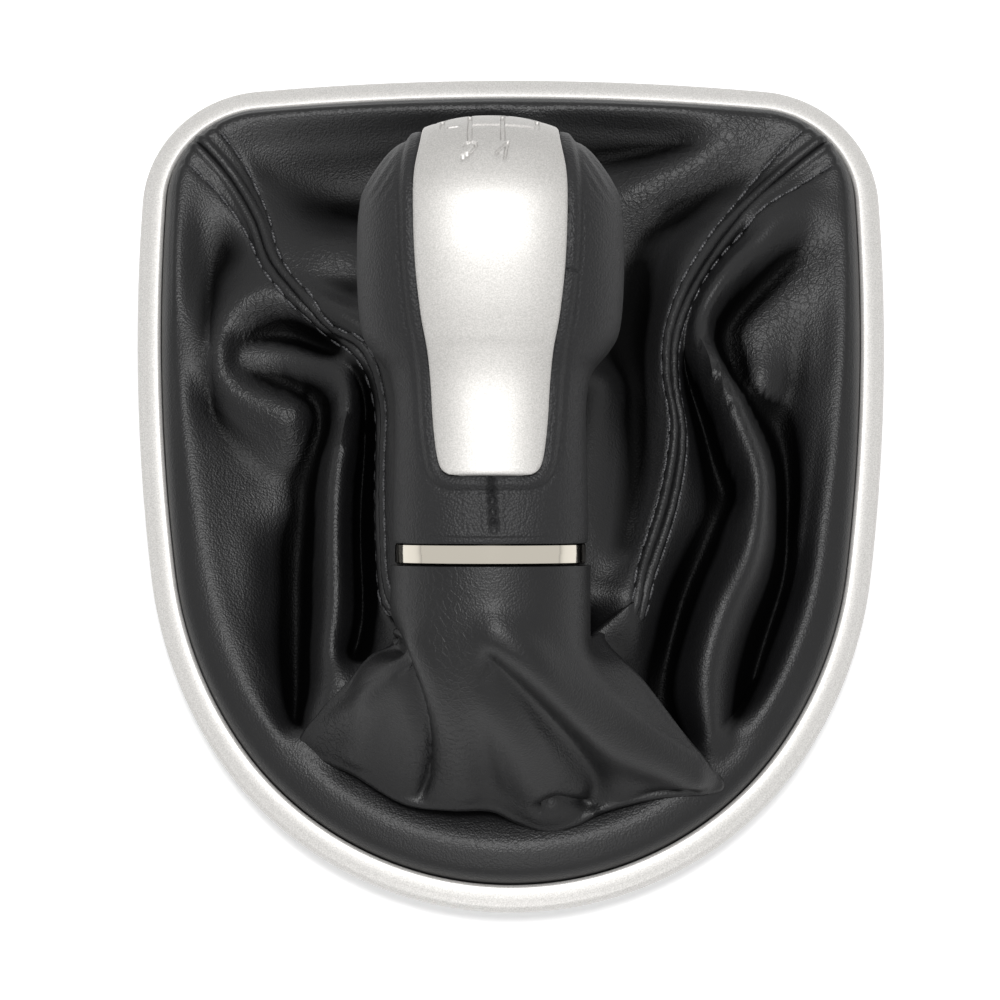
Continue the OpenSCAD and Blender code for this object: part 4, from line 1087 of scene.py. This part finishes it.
def stitches(name, lines, tree, sizes, seed):
    """Bakes one mesh of stitches along guide lines, which are lists of points in millimetres."""
    points = np.concatenate(lines)
    starts = np.cumsum([0] + [len(line) for line in lines])
    edges = [(k, k + 1) for a, b in zip(starts[:-1], starts[1:]) for k in range(a, b - 1)]
    mesh = bpy.data.meshes.new(name + "_guide")
    mesh.from_pydata((points * MM).tolist(), [(int(a), int(b)) for a, b in edges], [])
    guide = bpy.data.objects.new(name + "_guide", mesh)
    bpy.context.collection.objects.link(guide)
    row = guide.modifiers.new("stitches", "NODES")
    row.node_group = tree
    values = {**sizes, "Seed": seed, "Thread": thread}
    for item in tree.interface.items_tree:
        if item.in_out == "INPUT" and item.name in values:
            row[item.identifier] = values[item.name]
    baked = bpy.data.meshes.new_from_object(guide.evaluated_get(bpy.context.evaluated_depsgraph_get()))
    made = bpy.data.objects.new(name, baked)
    bpy.context.collection.objects.link(made)
    bpy.data.objects.remove(guide)
    print(name, "faces:", len(baked.polygons))
    return made


# %% Stitches along both seams
thread_lift = 0.12
sewn = np.flatnonzero((row_t > 4.0) & (row_t < 13.6))
thread_level = sheet + normals * (sheet_t / 2 + thread_lift)
guides = []
for order, across, wanted in stitch_lines:
    guide = []
    for r in sewn:
        guide.append([np.interp(wanted[r], across[:, r], thread_level[order, r, k]) for k in range(3)])
    guides.append(np.array(guide))
row_tree = stitch_tree()
seam_sizes = {"Pitch": stitch_pitch * MM, "Length": 3.5 * MM, "Thickness": 0.8 * MM}
seam_thread = stitches("seam_stitches", guides, row_tree, seam_sizes, 3)
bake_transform(seam_thread)

# %% [markdown]
# ## The grip
# The head is a rounded block that swells above a slim waist. Its cross-sections are
# superellipses, a little squarer than an ellipse, and a table up the axis gives their half
# width and their depths. The leather cover and the silver insert both lie on this form, so
# both are worked out from the same functions.

# %% Grip form
# Height above the ring's centre, half width, depth towards the pattern, depth to the back
GRIP = [[2.1, 17.9, 17.7, 17.9], [3.0, 18.5, 18.1, 18.4], [12, 18.4, 17.5, 18.0], [25, 18.1, 16.8, 17.3],
        [30.6, 18.4, 16.6, 17.3], [34.4, 19.5, 16.9, 18.0], [38, 22.4, 17.8, 19.0],
        [41.5, 24.3, 19.1, 20.0], [47.8, 25.1, 20.9, 21.1], [56, 25.3, 21.8, 21.5],
        [64, 25.0, 21.1, 21.0], [69, 23.9, 19.7, 19.8], [74, 20.7, 16.9, 17.0], [77, 17.6, 14.1, 14.2],
        [79.4, 13.9, 11.0, 11.1], [81.2, 9.0, 7.1, 7.1], [82.1, 4.6, 3.6, 3.6], [82.4, 0.01, 0.01, 0.01]]
squareness = 2.3
form = on_curve(GRIP, np.linspace(0, len(GRIP) - 1, 1200))
print("grip's widest in mm:", round(2 * form[:, 1].max(), 1))


def grip_size(z, k):
    """Half width (1), front depth (2) or back depth (3) of the grip at a height."""
    return np.interp(z, form[:, 0], form[:, k])


def at_knob(p):
    """Points in the knob's frame as points in the set's frame; local -Y faces the pattern."""
    return collar + p[..., :1] * np.array([1, 0, 0]) - p[..., 1:2] * axis_up + p[..., 2:] * axis_dir


def grid_normals(grid, wrap):
    """Normals of a grid of points; wrap joins the last row to the first."""
    if wrap:
        du = np.roll(grid, -1, axis=0) - np.roll(grid, 1, axis=0)
    else:
        du = np.gradient(grid, axis=0)
    n = np.cross(du, np.gradient(grid, axis=1))
    return n / np.maximum(1e-12, np.linalg.norm(n, axis=-1, keepdims=True))


# Outline of the insert from the front: half width, height
INSERT_SIDE = np.array([[5.6, 14.6], [7.4, 14.75], [8.8, 15.5], [9.6, 17], [10.2, 20.1], [10.7, 25.1],
                        [11.1, 31.7], [11.7, 37.8], [12.9, 44.6], [13.9, 54], [14.3, 64.8], [14.1, 72],
                        [13.2, 78.1], [12.4, 85]])
insert_back = 5
insert_foot = INSERT_SIDE[0, 1]
side_line = on_curve(INSERT_SIDE, np.linspace(0, len(INSERT_SIDE) - 1, 400))
foot_line = np.stack([np.linspace(0, INSERT_SIDE[0, 0], 20)[:-1], np.full(19, insert_foot)], -1)
side_line = np.concatenate([foot_line, side_line])


def insert_half(z):
    """Half width of the insert at a height."""
    return np.interp(z, side_line[len(foot_line):, 1], side_line[len(foot_line):, 0])


def beyond_insert(p):
    """Distance outwards from the insert's outline, negative under the insert."""
    x, z = np.abs(p[..., 0]), p[..., 2]
    d = line_distance(side_line, x, z)
    inside = (x < insert_half(z)) & (z > insert_foot)
    return np.maximum(np.where(inside, -d, d), p[..., 1] - insert_back)


# %% [markdown]
# ## The leather cover
# Fine leather is glued over the core and its edge is turned into a groove round the insert,
# so it swells a little and then dives. A short seam closes it below the insert, laced with
# thread across the gap. The shoulders show fine pleats where the flat leather had to shrink
# over the round head, and the rolled edge has one nick on the right.

# %% Leather cover
cover_columns = 270
front_denser = 23
under_edge, swell_h, crease_h = 1.1, 0.38, 0.3
pleat_mm, pleat_h = 1.5, 0.1
seam_gap, thread_h, thread_step, lip_h = 0.95, 0.75, 2.0, 0.14
nick_z, nick_h = 52.8, 0.4
wrap_t, tip_t = 1.45, 1.4
run = np.concatenate([[0], np.cumsum(np.hypot(np.diff(form[:, 0]), np.diff(form[:, 1])))])
nick_run = np.interp(nick_z, form[:, 0], run)
steps = [np.arange(0, 13, 0.36), np.arange(13, nick_run - 1, 0.72),
         np.arange(nick_run - 1, nick_run + 1, 0.2), np.arange(nick_run + 1, run[-1], 0.66), [run[-1]]]
levels = np.interp(np.concatenate(steps), run, np.arange(len(form)))
even_turn = np.linspace(0, 360, cover_columns, endpoint=False)
turn = even_turn - front_denser * cos(even_turn)
bulge_x = np.sign(cos(turn)) * np.abs(cos(turn)) ** (2 / squareness)
bulge_y = np.sign(sin(turn)) * np.abs(sin(turn)) ** (2 / squareness)


def form_at(k):
    return np.interp(levels, np.arange(len(form)), form[:, k])


depth = np.where(bulge_y[:, None] < 0, form_at(2), form_at(3))
cover = np.stack([bulge_x[:, None] * form_at(1), bulge_y[:, None] * depth,
                  np.broadcast_to(form_at(0), depth.shape)], axis=-1)
outward = grid_normals(cover, True)
gap = beyond_insert(cover)
dive = -under_edge * ease((0.35 - gap) / 1.0) + swell_h * bell(gap - 1.4, 0.75)
dive = dive - crease_h * bell(gap - 2.9, 0.4)
on_shoulder = ease((cover[..., 2] - 62) / 8) * ease((gap - 3) / 1.5) * (np.abs(cover[..., 0]) > 8)
pleat_way = 0.81 * np.abs(cover[..., 0]) + 0.58 * cover[..., 2]
dive = dive + pleat_h * on_shoulder * np.sin(
    pleat_way * 2 * math.pi / pleat_mm + 0.9 * np.sin(cover[..., 2] / 2.5))
seam_top = insert_foot - 0.4
in_seam = (cover[..., 2] < seam_top) & (cover[..., 1] < 0)
seam_x = cover[..., 0] - 0.7 + 0.06 * (cover[..., 2] - 4.5)
threads = bell(cover[..., 2] % thread_step - thread_step / 2, 0.3)
laced = (thread_h * threads - seam_gap) * bell(seam_x, 0.65) + lip_h * bell(np.abs(seam_x) - 1.5, 0.6)
dive = dive + np.where(in_seam, laced * ease((cover[..., 2] - 3.4) / 1.5), 0)
nick = bell(cover[..., 2] - nick_z + 0.15 * (cover[..., 0] - 13), 0.3)
dive = dive - nick_h * nick * ease((2.9 - gap) / 0.5) * (cover[..., 0] > 0) * (cover[..., 1] < 0)
cover_outer = cover + outward * dive[..., None]
cover_inner = cover - outward * wrap_t
cover_inner[:, -1] = cover_outer[:, -1] - [0, 0, tip_t]
grip_cover = skin("grip_leather_cover", at_knob(cover_outer), at_knob(cover_inner), grip_leather, wrap=True)
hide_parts("grip_cover")
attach(grip_cover, "knob")
print("grip cover faces:", len(grip_cover.data.polygons))

# %% [markdown]
# ## The insert with its shift pattern
# The insert is one moulded shield that runs up the front of the knob and over its tip. The
# gate and the gear numbers are engraved. They are cut into the mesh itself: each sign is a
# list of strokes on the unrolled surface, and points near a stroke are pressed in.

# %% Strokes of the shift pattern: half width, then points across and up the insert
gate_x = {"reverse": -8.9, "left": -3.8, "middle": 2.3, "right": 8.7}
bar_l = 5.0
bar_half = 0.42
STROKES = [(bar_half, [(gate_x["left"], -bar_l), (gate_x["left"], bar_l)]),
           (bar_half, [(gate_x["middle"], -bar_l), (gate_x["middle"], bar_l)]),
           (bar_half, [(gate_x["left"], 0), (gate_x["right"], 0)]),
           (bar_half, [(gate_x["right"], 0), (gate_x["right"], bar_l)]),
           (bar_half, [(gate_x["reverse"], 0), (gate_x["reverse"], bar_l)]),
           (0.3, [(-7.6, 0), (-6.0, 0)])]
DIGITS = {"1": [[(0.2, 0.75), (0.55, 1), (0.55, 0)]],
          "2": [[(0.05, 0.75), (0.2, 0.95), (0.5, 1), (0.85, 0.92), (0.92, 0.7), (0.7, 0.45), (0, 0),
                 (1, 0)]],
          "3": [[(0.05, 0.9), (0.4, 1), (0.85, 0.88), (0.8, 0.62), (0.45, 0.53), (0.85, 0.42), (0.95, 0.2),
                 (0.6, 0), (0.05, 0.08)]],
          "4": [[(0.75, 0), (0.75, 1), (0, 0.3), (1, 0.3)]],
          "5": [[(0.9, 1), (0.15, 1), (0.1, 0.55), (0.55, 0.62), (0.95, 0.4), (0.85, 0.1), (0.45, 0),
                 (0.05, 0.1)]],
          "R": [[(0, 0), (0, 1), (0.6, 1), (0.9, 0.85), (0.9, 0.65), (0.6, 0.5), (0, 0.5)],
                [(0.45, 0.5), (0.95, 0)]]}
digit_w, digit_h, digit_half, slant = 2.5, 4.2, 0.27, 0.15
PLACES = [("2", "left", -1), ("4", "middle", -1), ("R", "reverse", 1), ("1", "left", 1),
          ("3", "middle", 1), ("5", "right", 1)]
for sign, lane, side in PLACES:
    low = bar_l + 0.8 if side > 0 else -bar_l - 0.8 - digit_h
    for stroke in DIGITS[sign]:
        STROKES.append((digit_half, [(gate_x[lane] + digit_w * (x - 0.5) + slant * digit_h * (y - 0.5),
                                      low + digit_h * y) for x, y in stroke]))

# %% Insert
tip_from = 66.0
fan_end = 107.0
insert_proud, edge_round, insert_t = 0.45, 0.8, 0.95
engrave, engrave_edge = 0.5, 0.16
cross_z, pattern_drop = 80.3, 1.4
row_z = np.concatenate([np.arange(insert_foot, 18, 0.3), np.arange(18, tip_from, 0.9)])
fan = np.concatenate([np.linspace(0, 26, 14)[:-1], np.linspace(26, fan_end, 160)])
lanes = np.linspace(-1, 1, 171)


def surface_y(x, z):
    """Local Y of the grip's front at x and z."""
    share = np.clip(1 - (np.abs(x) / grip_size(z, 1)) ** squareness, 0, 1)
    return -grip_size(z, 2) * share ** (1 / squareness)


def fan_point(x, angle):
    """Point on the head where a ray from the middle of the head leaves it."""
    low, high = np.zeros_like(x), np.full_like(x, 40.0)
    for _ in range(40):
        r = (low + high) / 2
        y, z = -r * cos(angle), tip_from + r * sin(angle)
        deep = np.where(y < 0, grip_size(z, 2), grip_size(z, 3))
        out = (np.abs(x) / grip_size(z, 1)) ** squareness + (np.abs(y) / deep) ** squareness > 1
        low, high = np.where(out, low, r), np.where(out, r, high)
    return np.stack([x, -low * cos(angle), tip_from + low * sin(angle)], axis=-1)


x_low = insert_half(row_z)[:, None] * lanes[None]
z_low = np.broadcast_to(row_z[:, None], x_low.shape)
lower_part = np.stack([x_low, surface_y(x_low, z_low), z_low], axis=-1)
centre_z = fan_point(np.zeros_like(fan), fan)[:, 2]
x_fan = insert_half(centre_z)[:, None] * lanes[None]
upper_part = fan_point(x_fan, np.broadcast_to(fan[:, None], x_fan.shape))
shield = np.concatenate([lower_part, upper_part])
middle_line = shield[:, len(lanes) // 2]
climb = np.concatenate([[0], np.cumsum(np.linalg.norm(np.diff(middle_line, axis=0), axis=1))])
cross_line = np.interp(cross_z, middle_line[:, 2], climb) - pattern_drop
across = shield[..., 0]
up = np.broadcast_to((climb - cross_line)[:, None], across.shape)


def segment_distance(x, y, a, b):
    ab = np.array(b, float) - a
    f = np.clip(((x - a[0]) * ab[0] + (y - a[1]) * ab[1]) / (ab @ ab), 0, 1)
    return np.hypot(x - a[0] - f * ab[0], y - a[1] - f * ab[1])


cut = np.zeros(across.shape)
for half, stroke in STROKES:
    for a, b in zip(stroke[:-1], stroke[1:]):
        d = segment_distance(across, up, a, b)
        cut = np.maximum(cut, ease((half - d) / engrave_edge + 0.5))
edge_gap = np.minimum(np.minimum((1 - np.abs(lanes))[None] * np.abs(shield[:, -1:, 0]), climb[:, None]),
                      (climb[-1] - climb)[:, None])
proud = insert_proud * np.sqrt(1 - (1 - np.clip(edge_gap / edge_round, 0, 1)) ** 2)
outward = grid_normals(shield, False)
if outward[5, len(lanes) // 2, 1] > 0:
    outward = -outward
shield_outer = shield + outward * (proud - engrave * cut)[..., None]
shield_inner = shield - outward * insert_t
# The insert wears the darker copy of the silver paint, which paints shade on it
silver_insert = skin("silver_insert", at_knob(shield_outer), at_knob(shield_inner), shaded_insert_silver)
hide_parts("insert")
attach(silver_insert, "knob")
print("insert faces:", len(silver_insert.data.polygons))
